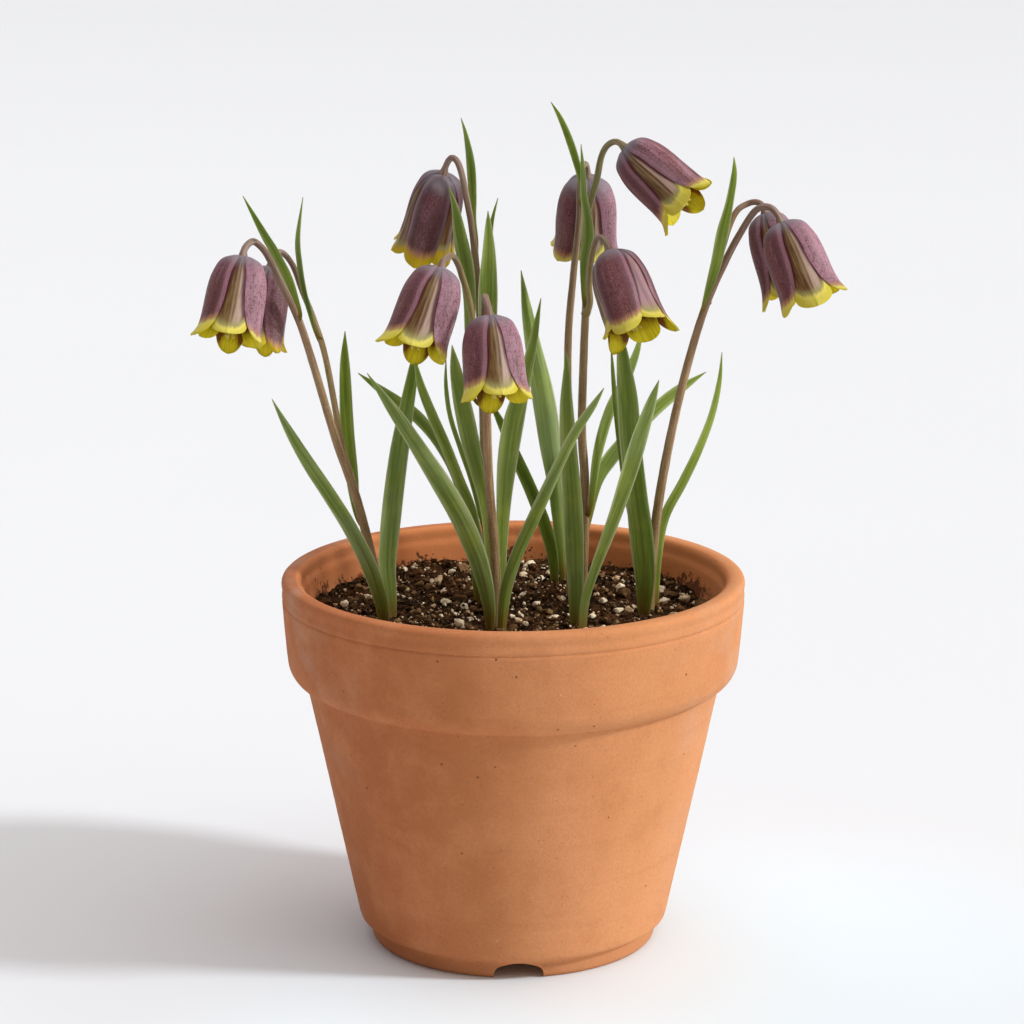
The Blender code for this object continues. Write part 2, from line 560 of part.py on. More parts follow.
# ---------------------------------------------------------------- leaves
def build_leaf(name, mat):
    root, channel, turn, count, marks = LEAVES[name]
    points = []
    for u, v, depth, width in marks:
        p = chart(u, v, depth)
        points.append((p, width * step_at(p) / 2))
    stations = 11 if count == 8 else 8
    path = smooth_curve(points, stations)
    tang = tangents([p[0] for p in path])
    turn = math.radians(turn)
    bm = bmesh.new()
    rings = []
    for i, (centre, half) in enumerate(path[:-1]):
        t = tang[i]
        view = (centre - EYE).normalized()
        across = t.cross(view).normalized()
        back = across.cross(t).normalized()
        if back.dot(view) < 0:
            back = -back
        a_dir = across * math.cos(turn) + back * math.sin(turn)
        n_dir = back * math.cos(turn) - across * math.sin(turn)
        half = half / math.cos(turn)
        thick = (0.45 if i else 0.5) * MM

        def at(q, face):
            lift = -channel * half * abs(q) ** 1.4 + channel * half * 0.4
            body = thick * (1 - 0.72 * abs(q)) * face
            return bm.verts.new(centre + a_dir * (q * half) + n_dir * (lift + body))

        if count == 8:
            ring = [at(-1, 0), at(-0.5, -1), at(0, -1), at(0.5, -1),
                    at(1, 0), at(0.5, 1), at(0, 1), at(-0.5, 1)]
        else:
            ring = [at(-1, 0), at(0, -1), at(1, 0), at(0, 1)]
        rings.append(ring)
    if root == "soil":
        snap_to_soil(rings[0])
    for a, b in zip(rings, rings[1:]):
        ring_faces(bm, a, b)
    bm.faces.new(rings[0])
    pole_faces(bm, rings[-1], bm.verts.new(path[-1][0]))
    return add_object(name, bm, mat, 50.0)


build_pot()
build_soil()
for _name in FLOWERS:
    build_flower(_name, material(_name + "_petals", PLUM))
for _name in STEMS:
    build_stem(_name, material(_name + "_skin", STALK))
for _name in LEAVES:
    build_leaf(_name, material(_name + "_blade", GREEN))
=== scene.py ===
"""Pot of small fritillaries, the visual model: thrown clay pot, crumbly soil, channelled leaves,
brown stems and nodding plum bells with yellow lips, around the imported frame.

Frame: metres, +Z up, floor at z = 0, the front faces -Y.
"""

import math

import bmesh
import bpy
import numpy as np
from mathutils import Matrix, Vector, noise


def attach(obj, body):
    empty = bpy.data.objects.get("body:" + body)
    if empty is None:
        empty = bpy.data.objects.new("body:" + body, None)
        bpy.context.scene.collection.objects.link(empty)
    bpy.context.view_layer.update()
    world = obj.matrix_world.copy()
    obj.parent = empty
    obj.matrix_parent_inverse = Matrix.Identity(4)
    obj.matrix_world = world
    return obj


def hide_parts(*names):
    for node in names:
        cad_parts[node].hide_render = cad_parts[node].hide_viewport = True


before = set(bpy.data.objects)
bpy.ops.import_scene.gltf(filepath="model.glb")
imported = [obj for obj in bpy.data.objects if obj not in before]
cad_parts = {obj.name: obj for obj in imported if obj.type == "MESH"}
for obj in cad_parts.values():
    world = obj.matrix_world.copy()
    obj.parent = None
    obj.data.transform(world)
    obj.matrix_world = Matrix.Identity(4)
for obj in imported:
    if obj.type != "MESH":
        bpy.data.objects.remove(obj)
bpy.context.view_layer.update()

MM = 0.001
POT_AXIS_X = -0.00195
AXIS = Vector((POT_AXIS_X, 0.0, 0.0))
SEED = 4045


# ---------------------------------------------------------------- clay pot
POT_SIDES = 48
RIM_R_MM = 75.0              # outside of the collar at the lip
RIM_TOP_MM = 121.6
LIP_IN_R_MM = 68.7
COLLAR_LOW_Z_MM = 86.0       # where the body comes out from under the collar
BODY_TOP_R_MM = 67.1
BODY_LOW_R_MM = 50.8
BODY_LOW_Z_MM = 8.6
FOOT_R_MM = 46.7
FOOT_H_MM = 5.9
FOOT_IN_R_MM = 38.5
RECESS_MM = 4.6              # underside of the floor above the ground
FLOOR_TOP_MM = 11.0
DRAIN_R_MM = 7.0
NOTCH_W_MM = 16.0
NOTCH_H_MM = 5.1
NOTCH_ANGLES = (-87.8, 32.2, 152.2)

# ---------------------------------------------------------------- soil
SOIL_Z_MM = 108.3
SOIL_EDGE_R_MM = 66.4
SOIL_SIDES = 48
SOIL_RINGS = 8

# ---------------------------------------------------------------- front chart
# The plants are laid out on a front chart: u runs right and v down, in chart steps, on
# sight lines from one viewpoint in front of the pot.  A depth in millimetres behind the
# pot's axis then fixes the point on its sight line.
VIEW_DIST = 1.0798
VIEW_HEIGHT = 0.399
VIEW_DIP = math.radians(13.39)
VIEW_SCALE = 3439.0
VIEW_U0 = 513.2
VIEW_V0 = 512.0


def chart(u, v, depth_mm):
    """Point at the given depth on the sight line (u, v)."""
    y = depth_mm * MM
    dip = VIEW_DIP + math.atan((v - VIEW_V0) / VIEW_SCALE)
    z = VIEW_HEIGHT - (VIEW_DIST + y) * math.tan(dip)
    run = (VIEW_DIST + y) * math.cos(VIEW_DIP) + (VIEW_HEIGHT - z) * math.sin(VIEW_DIP)
    return Vector(((u - VIEW_U0) * run / VIEW_SCALE, y, z))


def step_at(point):
    """Metres per chart step at a point."""
    run = (VIEW_DIST + point.y) * math.cos(VIEW_DIP) + (VIEW_HEIGHT - point.z) * math.sin(VIEW_DIP)
    return run / VIEW_SCALE


EYE = Vector((0.0, -VIEW_DIST, VIEW_HEIGHT))

# ---------------------------------------------------------------- bell flowers
BELL_SIDES = 24
BELL_WALL_MM = 0.75
PISTIL_R_MM = 1.5
# name: apex (u, v, depth), middle of the mouth (u, v, depth), widest radius in mm, turn in degrees
FLOWERS = {
    "flower_a1": ((243, 257, -14), (229, 338, -27), 10.2, 0),
    "flower_a2": ((271, 266, 13), (258, 346, 4), 8.7, 18),
    "flower_b1": ((489, 316, -38), (496, 398, -50), 10.3, 0),
    "flower_c1": ((444, 173, 15), (424, 247, 23), 9.4, 60),
    "flower_c2": ((441, 268, -19), (414, 349, -31), 10.4, -8),
    "flower_d1": ((587, 176, 32), (584, 250, 40), 10.8, 50),
    "flower_g1": ((625, 148, 6), (688, 204, -5), 9.9, 4),
    "flower_g2": ((609, 251, -9), (637, 330, -21), 10.2, 12),
    "flower_h1": ((781, 223, -16), (812, 299, -28), 10.0, 8),
    "flower_h2": ((765, 213, 4), (791, 292, -6), 8.8, 14),
}

# ---------------------------------------------------------------- stems and flower stalks
STEM_SIDES = 8
# name: flower that it carries, foot radius, top radius (mm), root, points (u, v, depth)
STEMS = {
    "stem_a": ("flower_a1", 1.7, 1.05, "soil", [
        (382, 611, 2), (376, 575, 3), (357, 500, 4), (336, 440, 4), (312, 360, 2),
        (298, 318, 0), (281, 283, -1), (268, 256, -2), (258, 244, -5), (251, 242, -9)]),
    "stalk_a2": ("flower_a2", 1.1, 0.95, "stem", [
        (349, 470, 8), (341, 440, 9), (326, 360, 15), (314, 320, 18),
        (302, 290, 20), (295, 270, 21), (288, 258, 20), (280, 252, 17)]),
    "stem_b": ("flower_b1", 1.8, 1.1, "soil", [
        (496, 624, -14), (495, 560, -16), (489, 480, -21), (487, 418, -25),
        (485, 340, -28), (485, 306, -29), (485, 297, -32)]),
    "stem_c": ("flower_c1", 1.7, 1.0, "soil", [
        (490, 604, 12), (487, 540, 12), (484, 440, 12), (481, 340, 12), (477, 275, 12),
        (472, 228, 11), (467, 200, 9.5), (462, 175, 9.5), (457, 161, 10.5), (451, 158, 13)]),
    "stalk_c2": ("flower_c2", 1.15, 1.0, "stem", [
        (477, 360, 8.2), (474, 335, 4), (471, 310, 0), (467, 292, -3), (462, 276, -6),
        (458, 264, -9), (452, 256, -13)]),
    "stem_d": ("flower_d1", 1.7, 1.0, "soil", [
        (571, 598, 20), (569, 480, 21), (568, 350, 23), (573, 280, 23),
        (579, 222, 23), (580, 185, 23), (582, 168, 25), (585, 164, 29)]),
    "stem_g": ("flower_g1", 1.8, 1.0, "soil", [
        (582, 602, 14), (585, 490, 14), (582, 430, 14), (584, 350, 14.5), (586, 298, 15),
        (585, 250, 17), (586, 222, 17), (591, 200, 14), (597, 178, 13), (601, 158, 12),
        (606, 147, 10.5), (613, 142, 9)]),
    "stalk_g2": ("flower_g2", 1.1, 1.0, "stem", [
        (590, 302, 11), (589, 285, 8.5), (590, 268, 5), (593, 250, 1),
        (597, 239, -3), (602, 238, -6)]),
    "stem_h": ("flower_h1", 1.8, 1.05, "soil", [
        (649, 608, 6), (655, 530, 4), (667, 455, 0), (685, 375, -2), (705, 308, -4),
        (726, 260, -5.5), (741, 232, -7), (754, 212, -9), (763, 207, -10.5), (771, 208, -12)]),
    "stalk_h2": ("flower_h2", 1.1, 0.95, "stem", [
        (709, 290, -1), (717, 268, 1), (728, 230, 3), (737, 211, 4.5),
        (747, 204, 6), (756, 202, 5.5)]),
}

# ---------------------------------------------------------------- leaves
# name: root, channel depth as a share of the half width (positive: open to the front),
# turn of the blade about its length in degrees, cross-section points,
# points from root to tip (u, v, depth, full width in chart steps)
LEAVES = {
    "leaf_a1": ("soil", 0.30, 18, 8, [
        (384, 622, -11, 11), (381, 600, -13, 14), (369, 565, -16, 16), (350, 527, -19, 15),
        (330, 495, -23, 14.5), (310, 465, -26, 13), (290, 432, -29, 9), (272, 399, -32, 0)]),
    "leaf_a2": ("soil", 0.28, -12, 8, [
        (392, 619, -6, 9), (389, 590, -6, 15), (387, 562, -5, 18), (391, 515, -2, 20),
        (398, 458, 3, 19), (406, 410, 8, 15), (413, 370, 12, 10), (416, 345, 15, 0)]),
    "leaf_a3": ("stem", 0.25, 25, 4, [
        (300, 311, -2.6, 4), (289, 280, -4, 9), (276, 254, -6, 9), (266, 237, -9, 8),
        (257, 221, -12, 6), (243, 196, -17, 0)]),
    "leaf_a4": ("stem", 0.25, 30, 4, [
        (315, 331, 14.6, 3), (310, 312, 15, 5), (304, 290, 15.5, 6), (300, 265, 17, 6),
        (298, 238, 19, 5), (303, 197, 22, 0)]),
    "leaf_a5": ("stem", 0.28, 20, 4, [
        (358, 518, 7.6, 5), (355, 500, 9.5, 9), (352, 472, 13, 13), (348, 435, 16.5, 14),
        (346, 395, 19.5, 13), (345, 360, 22, 9), (345, 331, 24, 0)]),
    "leaf_b1": ("soil", -0.22, 20, 8, [
        (490, 627, -21, 9), (488, 600, -23, 14), (478, 560, -26, 19), (462, 521, -29, 21),
        (441, 484, -32, 20), (418, 448, -35, 16.5), (394, 412, -38, 12), (367, 373, -42, 0)]),
    "leaf_b2": ("soil", -0.22, -22, 8, [
        (502, 627, -21, 9), (506, 590, -23, 12), (518, 553, -26, 12.5), (537, 512, -29, 13),
        (556, 471, -33, 11.5), (575, 433, -37, 10), (593, 406, -41, 7), (604, 388, -44, 0)]),
    "leaf_b3": ("soil", 0.25, 28, 8, [
        (488, 617, -9, 6), (483, 570, -8, 9), (473, 515, -7, 11), (459, 478, -7, 11),
        (446, 446, -7, 11), (433, 416, -7, 10), (421, 385, -7, 8), (414, 355, -7, 0)]),
    "leaf_b4": ("stem", 0.2, 10, 4, [
        (482, 522, 7.6, 4), (472, 482, 8, 5), (460, 447, 8.5, 5), (450, 415, 9, 5),
        (446, 385, 9.5, 4), (446, 358, 10, 0)]),
    "leaf_b5": ("soil", 0.30, -25, 8, [
        (490, 609, 6, 6), (489, 560, 5, 8), (485, 510, 3.5, 10), (478, 475, 2.5, 15),
        (469, 438, 1.5, 19), (461, 400, 0.5, 17), (455, 368, -1, 11), (452, 345, -3, 0)]),
    "leaf_b6": ("soil", 0.25, 30, 8, [
        (478, 602, 14, 6), (471, 540, 14, 8), (458, 482, 16, 9), (440, 445, 18, 10),
        (419, 418, 21, 12), (398, 402, 24, 12), (376, 386, 27, 7), (358, 373, 30, 0)]),
    "leaf_b7": ("soil", 0.30, -20, 8, [
        (501, 620, -9, 8), (501, 570, -10, 10), (503, 510, -11, 14), (507, 460, -10, 20),
        (513, 422, -8, 20.5), (524, 380, -6, 13), (533, 340, -3, 9), (541, 298, 1, 0)]),
    "leaf_c1": ("stem", 0.25, 25, 4, [
        (473, 395, 11.5, 4), (470, 350, 10.5, 9), (470, 303, 6, 12), (467, 270, 3.5, 15),
        (461, 238, 3, 14), (456, 210, 2.5, 8), (449, 187, 2, 0)]),
    "leaf_c2": ("stem", 0.28, -25, 4, [
        (489, 412, 9.5, 5), (487, 370, 8, 12), (487, 325, 6.5, 18), (487, 292, 5.5, 19),
        (488, 258, 4, 15), (488, 230, 1, 8), (488, 211, -2, 0)]),
    "leaf_c3": ("stem", 0.22, 30, 4, [
        (477, 240, 15, 3), (474, 220, 16, 5), (473, 195, 18, 8), (471, 163, 20, 9),
        (466, 135, 22, 4.5), (461, 118, 24, 0)]),
    "leaf_c4": ("stem", 0.22, 35, 4, [
        (488, 352, 12.6, 3), (489, 315, 13, 7), (489, 270, 14, 8), (491, 228, 15, 5),
        (498, 198, 17, 0)]),
    "leaf_e1": ("soil", 0.28, 25, 8, [
        (555, 583, 38, 8), (553, 556, 38, 11), (546, 528, 36, 13), (533, 494, 33, 13),
        (518, 460, 28, 12), (503, 426, 23, 9), (487, 395, 19, 0)]),
    "leaf_e2": ("soil", -0.25, -20, 8, [
        (565, 582, 40, 8), (560, 530, 41, 12), (556, 485, 42, 16), (551, 447, 43, 21),
        (547, 415, 44, 23), (541, 380, 46, 21.5), (533, 342, 48, 16), (527, 308, 50, 10.5),
        (521, 270, 52, 0)]),
    "leaf_f1": ("soil", 0.30, 22, 8, [
        (575, 627, -16, 10), (576, 590, -15, 15), (575, 550, -13, 19.5), (573, 500, -10, 20),
        (569, 445, -7, 17), (567, 405, -4, 13), (567, 372, -1, 7), (566, 350, 2, 0)]),
    "leaf_f2": ("soil", 0.25, -28, 8, [
        (582, 631, -22, 8), (585, 600, -23, 9), (596, 565, -25, 10.5), (613, 520, -28, 13),
        (626, 480, -31, 15.5), (638, 441, -34, 15.5), (650, 404, -37, 10.5), (659, 380, -40, 0)]),
    "leaf_g1": ("stem", 0.25, -25, 4, [
        (590, 508, 12, 5), (597, 455, 13, 10), (609, 412, 17, 11), (624, 382, 21, 10.5),
        (636, 353, 25, 7), (643, 325, 29, 0)]),
    "leaf_g2": ("stem", 0.28, -30, 4, [
        (589, 520, 17.6, 5), (596, 482, 21, 12), (610, 458, 25, 15), (633, 431, 30, 14),
        (657, 407, 35, 13), (678, 390, 39, 10.5), (706, 372, 44, 0)]),
    "leaf_g3": ("stem", 0.30, 10, 4, [
        (584, 301, 11.6, 4), (584, 280, 12, 7), (585, 260, 12.2, 10), (588, 238, 12, 13),
        (587, 215, 10, 10), (584, 195, 8, 7), (583, 170, 5, 5), (581, 144, 1, 0)]),
    "leaf_d1": ("stem", 0.25, 20, 4, [
        (581, 196, 20, 3), (581, 180, 18, 6), (576, 160, 15, 7.5), (569, 138, 11, 7.5),
        (560, 117, 6, 5), (551, 102, 1, 0)]),
    "leaf_h1": ("soil", 0.25, -30, 8, [
        (655, 606, 11, 7), (657, 560, 11, 8.5), (664, 518, 12, 10), (683, 481, 13, 9.5),
        (698, 450, 15, 9), (711, 416, 18, 7.5), (719, 382, 21, 5), (722, 352, 24, 0)]),
    "leaf_h2": ("soil", 0.28, 15, 8, [
        (644, 613, 0, 12), (645, 577, -1, 20), (642, 537, -2, 24), (637, 495, -3, 22),
        (631, 440, -4, 22), (628, 398, -4, 20.5), (623, 356, -3, 12), (619, 325, -1, 0)]),
    "leaf_h3": ("soil", 0.2, 20, 4, [
        (640, 607, 8, 4), (634, 540, 8, 5), (625, 485, 9, 5), (619, 440, 11, 5), (615, 400, 13, 5),
        (613, 372, 15, 4), (611, 345, 17, 0)]),
    "leaf_h4": ("stem", 0.30, -15, 4, [
        (704, 303, -7, 4), (709, 287, -8, 7.5), (716, 263, -9, 11), (722, 233, -11, 12),
        (729, 204, -14, 8.5), (734, 175, -17, 6), (734, 157, -19, 0)]),
}


# ---------------------------------------------------------------- small numeric helpers
def smoothstep(x, lo, hi):
    t = np.clip((np.asarray(x, float) - lo) / (hi - lo), 0.0, 1.0)
    return t * t * (3 - 2 * t)


def smooth_table(x, xs, ys):
    """Smooth curve through a table: monotone cubic between the knots."""
    x = np.asarray(x, float)
    xs, ys = np.asarray(xs, float), np.asarray(ys, float)
    d = np.diff(ys) / np.diff(xs)
    m = np.concatenate([[d[0]], np.where(d[1:] * d[:-1] > 0, 2 * d[1:] * d[:-1] / (d[1:] + d[:-1] + 1e-12), 0.0),
                        [d[-1]]])
    i = np.clip(np.searchsorted(xs, x, side="right") - 1, 0, len(xs) - 2)
    h = xs[i + 1] - xs[i]
    t = np.clip((x - xs[i]) / h, 0, 1)
    return ((2 * t ** 3 - 3 * t ** 2 + 1) * ys[i] + (t ** 3 - 2 * t ** 2 + t) * h * m[i]
            + (-2 * t ** 3 + 3 * t ** 2) * ys[i + 1] + (t ** 3 - t ** 2) * h * m[i + 1])


def wave_noise(p, scale, seed=0.0):
    """Smooth noise in -1..1 at a point given in millimetres."""
    return noise.noise(Vector((p[0] / scale + seed, p[1] / scale - seed * 0.7, p[2] / scale + seed * 1.3)))


def add_mesh(name, verts, faces, mat, smooth_angle=40.0, attributes=None):
    """Mesh object in the row frame; verts are metres from the pot's axis."""
    mesh = bpy.data.meshes.new(name)
    v = np.asarray(verts, float) + np.array((POT_AXIS_X, 0.0, 0.0))
    mesh.from_pydata(v.tolist(), [], faces)
    mesh.validate()
    for key, values in (attributes or {}).items():
        att = mesh.attributes.new(key, "FLOAT", "POINT")
        att.data.foreach_set("value", np.asarray(values, np.float32))
    mesh.shade_smooth()
    if smooth_angle:
        mesh.set_sharp_from_angle(angle=math.radians(smooth_angle))
    mesh.materials.append(mat)
    obj = bpy.data.objects.new(name, mesh)
    bpy.context.scene.collection.objects.link(obj)
    return obj


def outward(obj):
    """Turn the faces of each closed body outwards."""
    bm = bmesh.new()
    bm.from_mesh(obj.data)
    bmesh.ops.recalc_face_normals(bm, faces=bm.faces[:])
    bm.to_mesh(obj.data)
    bm.free()


def place(obj, slot, *nodes):
    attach(obj, "root")
    if nodes:
        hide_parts(*nodes)
    return obj


# ---------------------------------------------------------------- shader helpers
class Look:
    """One material with a few short calls for its nodes."""

    def __init__(self, name, **constants):
        self.mat = bpy.data.materials.new(name)
        self.mat.use_nodes = True
        self.tree = self.mat.node_tree
        self.bsdf = self.tree.nodes["Principled BSDF"]
        for key, value in constants.items():
            self.bsdf.inputs[key.replace("_", " ")].default_value = value
        self.coord = self.tree.nodes.new("ShaderNodeTexCoord").outputs["Object"]

    def put(self, socket, value):
        if isinstance(value, bpy.types.NodeSocket):
            self.tree.links.new(value, socket)
        elif isinstance(value, tuple) and len(value) == 3 and socket.type == "RGBA":
            socket.default_value = (*value, 1.0)
        else:
            socket.default_value = value

    def math(self, op, a, b=0.0, c=None, clamp=False):
        n = self.tree.nodes.new("ShaderNodeMath")
        n.operation = op
        n.use_clamp = clamp
        self.put(n.inputs[0], a)
        self.put(n.inputs[1], b)
        if c is not None:
            self.put(n.inputs[2], c)
        return n.outputs[0]

    def attr(self, name):
        n = self.tree.nodes.new("ShaderNodeAttribute")
        n.attribute_type = "GEOMETRY"
        n.attribute_name = name
        return n.outputs["Fac"]

    def vec(self, x, y, z):
        n = self.tree.nodes.new("ShaderNodeCombineXYZ")
        for s, v in zip(n.inputs, (x, y, z)):
            self.put(s, v)
        return n.outputs[0]

    def xyz(self):
        n = self.tree.nodes.new("ShaderNodeSeparateXYZ")
        self.put(n.inputs[0], self.coord)
        return n.outputs[0], n.outputs[1], n.outputs[2]

    def noise(self, scale, detail=3.0, rough=0.55, vector=None, distortion=0.0):
        n = self.tree.nodes.new("ShaderNodeTexNoise")
        self.put(n.inputs["Vector"], vector if vector is not None else self.coord)
        n.inputs["Scale"].default_value = scale
        n.inputs["Detail"].default_value = detail
        n.inputs["Roughness"].default_value = rough
        n.inputs["Distortion"].default_value = distortion
        return n.outputs["Fac"]

    def cells(self, scale, vector=None, feature="F1"):
        n = self.tree.nodes.new("ShaderNodeTexVoronoi")
        n.feature = feature
        self.put(n.inputs["Vector"], vector if vector is not None else self.coord)
        n.inputs["Scale"].default_value = scale
        return n.outputs["Distance"], n.outputs["Color"]

    def step(self, x, lo, hi, a=0.0, b=1.0):
        n = self.tree.nodes.new("ShaderNodeMapRange")
        n.interpolation_type = "SMOOTHSTEP"
        for s, v in zip(n.inputs, (x, lo, hi, a, b)):
            self.put(s, v)
        return n.outputs[0]

    def mix(self, fac, a, b, blend="MIX"):
        n = self.tree.nodes.new("ShaderNodeMix")
        n.data_type = "RGBA"
        n.blend_type = blend
        self.put(n.inputs[0], fac)
        self.put(n.inputs[6], a)
        self.put(n.inputs[7], b)
        return n.outputs[2]

    def red(self, colour):
        n = self.tree.nodes.new("ShaderNodeSeparateColor")
        self.put(n.inputs[0], colour)
        return n.outputs[0]

    def scale_by(self, colour, factor):
        """Colour times a grey factor."""
        n = self.tree.nodes.new("ShaderNodeVectorMath")
        n.operation = "SCALE"
        self.put(n.inputs[0], colour)
        self.put(n.inputs["Scale"], factor)
        return n.outputs[0]

    def bump(self, height, distance, strength=1.0, under=None):
        n = self.tree.nodes.new("ShaderNodeBump")
        n.inputs["Strength"].default_value = strength
        n.inputs["Distance"].default_value = distance
        self.put(n.inputs["Height"], height)
        if under is not None:
            self.put(n.inputs["Normal"], under)
        return n.outputs[0]

    def finish(self, colour, rough=None, normal=None):
        self.put(self.bsdf.inputs["Base Color"], colour)
        if rough is not None:
            self.put(self.bsdf.inputs["Roughness"], rough)
        if normal is not None:
            self.put(self.bsdf.inputs["Normal"], normal)
        return self.mat


def clay_look():
    k = Look("clay", Roughness=0.9, Specular_IOR_Level=0.18)
    x, y, z = k.xyz()
    broad = k.noise(14.0, 3.0, 0.55)
    mottle = k.noise(70.0, 4.0, 0.6)
    grain = k.noise(900.0, 3.0, 0.7)
    sand = k.noise(2600.0, 2.0, 0.6)
    bands = k.noise(1.0, 3.0, 0.6, k.vec(k.math("MULTIPLY", x, 9.0), k.math("MULTIPLY", y, 9.0),
                                        k.math("MULTIPLY", z, 260.0)))
    # painted shade and painted light: the clay is painted deeper and redder towards the shaded left, paler towards the
    # lit right
    lean = k.step(k.math("ADD", x, k.math("MULTIPLY", k.math("SUBTRACT", broad, 0.5), 0.02)), -0.050, 0.034)
    painted_lit_clay = k.mix(k.step(broad, 0.32, 0.70), (0.590, 0.238, 0.092), (0.660, 0.285, 0.122))
    deep = k.mix(k.step(broad, 0.32, 0.70), (0.425, 0.138, 0.050), (0.480, 0.162, 0.062))
    col = k.mix(lean, deep, painted_lit_clay)
    col = k.mix(k.step(mottle, 0.40, 0.72, 0.0, 0.30), col, (0.680, 0.290, 0.125))
    col = k.mix(k.step(mottle, 0.48, 0.22, 0.0, 0.30), col, (0.460, 0.155, 0.056))
    col = k.mix(k.step(bands, 0.52, 0.75, 0.0, 0.20), col, (0.460, 0.160, 0.060))
    col = k.scale_by(col, k.math("MULTIPLY_ADD", grain, 0.30, 0.86))
    col = k.scale_by(col, k.math("MULTIPLY_ADD", sand, 0.26, 0.88))
    # dry pale bloom at the sides
    side = k.step(k.math("ABSOLUTE", k.math("ADD", x, -POT_AXIS_X)), 0.040, 0.072)
    bloom = k.math("MULTIPLY", side, k.step(k.noise(38.0, 4.0, 0.65), 0.40, 0.72))
    col = k.mix(k.math("MULTIPLY", bloom, 0.38), col, (0.560, 0.400, 0.300))
    # faint dragged smears
    smear = k.noise(1.0, 3.0, 0.55, k.vec(k.math("ADD", k.math("MULTIPLY", x, 120.0), k.math("MULTIPLY", z, 80.0)),
                                        k.math("MULTIPLY", y, 30.0),
                                        k.math("ADD", k.math("MULTIPLY", z, 40.0), k.math("MULTIPLY", x, -25.0))))
    col = k.mix(k.step(smear, 0.60, 0.80, 0.0, 0.26), col, (0.430, 0.150, 0.058))
    # pits, painted dark as painted shade, and grit
    pit_d, pit_c = k.cells(170.0)
    pit = k.math("MULTIPLY", k.step(pit_d, 0.085, 0.03), k.math("GREATER_THAN", k.red(pit_c), 0.72))
    pit2_d, pit2_c = k.cells(520.0)
    pit2 = k.math("MULTIPLY", k.step(pit2_d, 0.17, 0.08), k.math("GREATER_THAN", k.red(pit2_c), 0.82))
    fleck_d, fleck_c = k.cells(150.0, k.vec(k.math("ADD", x, 3.1), y, z))
    fleck = k.math("MULTIPLY", k.step(fleck_d, 0.07, 0.03), k.math("GREATER_THAN", k.red(fleck_c), 0.90))
    # painted shade: the pits are painted dark
    col = k.mix(k.math("MULTIPLY", pit, 0.75), col, (0.150, 0.055, 0.025))
    col = k.mix(k.math("MULTIPLY", pit2, 0.40), col, (0.290, 0.105, 0.042))
    col = k.mix(k.math("MULTIPLY", fleck, 0.60), col, (0.880, 0.660, 0.480))
    # inside: painted light makes the inner face brighter and redder; soil marks and damp on it
    radius = k.math("SQRT", k.math("ADD", k.math("MULTIPLY", k.math("ADD", x, -POT_AXIS_X), k.math("ADD", x, -POT_AXIS_X)),
                                   k.math("MULTIPLY", y, y)))
    # the wall's inner face only: below the collar the outer face is this much wider
    outer_wall = k.math("MINIMUM", 0.0708, k.math("ADD", k.math("MULTIPLY_ADD", z, 0.2106, 0.0502 - 0.2106 * 0.0086 - 0.0030),
                                                 k.step(z, 0.086, 0.090, 0.0, 0.0060)))
    inside = k.math("MULTIPLY", k.step(k.math("SUBTRACT", outer_wall, radius), 0.0, 0.0008), k.step(z, 0.030, 0.060))
    # painted light on the inner face of the wall
    col = k.mix(k.math("MULTIPLY", inside, 0.58), col, (0.740, 0.250, 0.082))
    # specks and smears of soil just over its surface
    crumb = k.noise(720.0, 3.0, 0.7)
    patch = k.noise(85.0, 2.0, 0.55, k.vec(k.math("ADD", x, 0.37), y, z))
    amount = k.math("ADD", crumb, k.math("MULTIPLY", k.math("SUBTRACT", patch, 0.5), 1.1))
    amount = k.math("ADD", amount, k.step(z, 0.1175, 0.1085, -0.22, 0.08))
    stain = k.math("MULTIPLY", inside, k.step(amount, 0.63, 0.68))
    col = k.mix(k.math("MULTIPLY", stain, 0.86), col, (0.050, 0.022, 0.010))
    damp = k.math("MULTIPLY", inside, k.math("MULTIPLY", k.step(z, 0.1130, 0.1085), k.step(patch, 0.40, 0.65, 0.05, 0.45)))
    col = k.mix(damp, col, (0.250, 0.078, 0.028))
    under = k.step(z, 0.0052, 0.0040)
    col = k.mix(k.math("MULTIPLY", under, 0.25), col, (0.330, 0.125, 0.055))
    height = k.math("ADD", k.math("MULTIPLY", grain, 0.55), k.math("MULTIPLY", sand, 0.45))
    height = k.math("ADD", height, k.math("MULTIPLY", mottle, 0.8))
    height = k.math("SUBTRACT", height, k.math("MULTIPLY", pit, 1.6))
    height = k.math("SUBTRACT", height, k.math("MULTIPLY", pit2, 0.6))
    rough = k.math("MULTIPLY_ADD", grain, -0.14, 0.97)
    return k.finish(col, rough, k.bump(height, 0.00022, 0.9))


def soil_look(name, dark, mid, tan, red):
    k = Look(name, Roughness=0.95, Specular_IOR_Level=0.05)
    clump = k.noise(420.0, 4.0, 0.7)
    fine = k.noise(1900.0, 3.0, 0.7)
    tone = k.attr("tone")
    area = k.noise(48.0, 2.0, 0.5)
    col = k.mix(k.step(k.math("ADD", clump, k.math("MULTIPLY_ADD", area, 0.5, -0.25)), 0.36, 0.64), dark, mid)
    col = k.mix(k.math("MULTIPLY", k.step(tone, 0.62, 0.98, 0.0, 0.75), k.step(fine, 0.30, 0.60, 0.4, 1.0)), col, tan)
    col = k.mix(k.step(k.noise(800.0, 3.0, 0.6), 0.57, 0.72, 0.0, 0.60), col, tan)
    col = k.mix(k.step(k.noise(150.0, 2.0, 0.6), 0.50, 0.70, 0.0, 0.6), col, red)
    col = k.scale_by(col, k.math("MULTIPLY_ADD", fine, 1.4, 0.3))
    height = k.math("ADD", clump, k.math("MULTIPLY", fine, 0.5))
    return k.finish(col, k.math("MULTIPLY_ADD", fine, -0.2, 1.0), k.bump(height, 0.0005, 0.9))


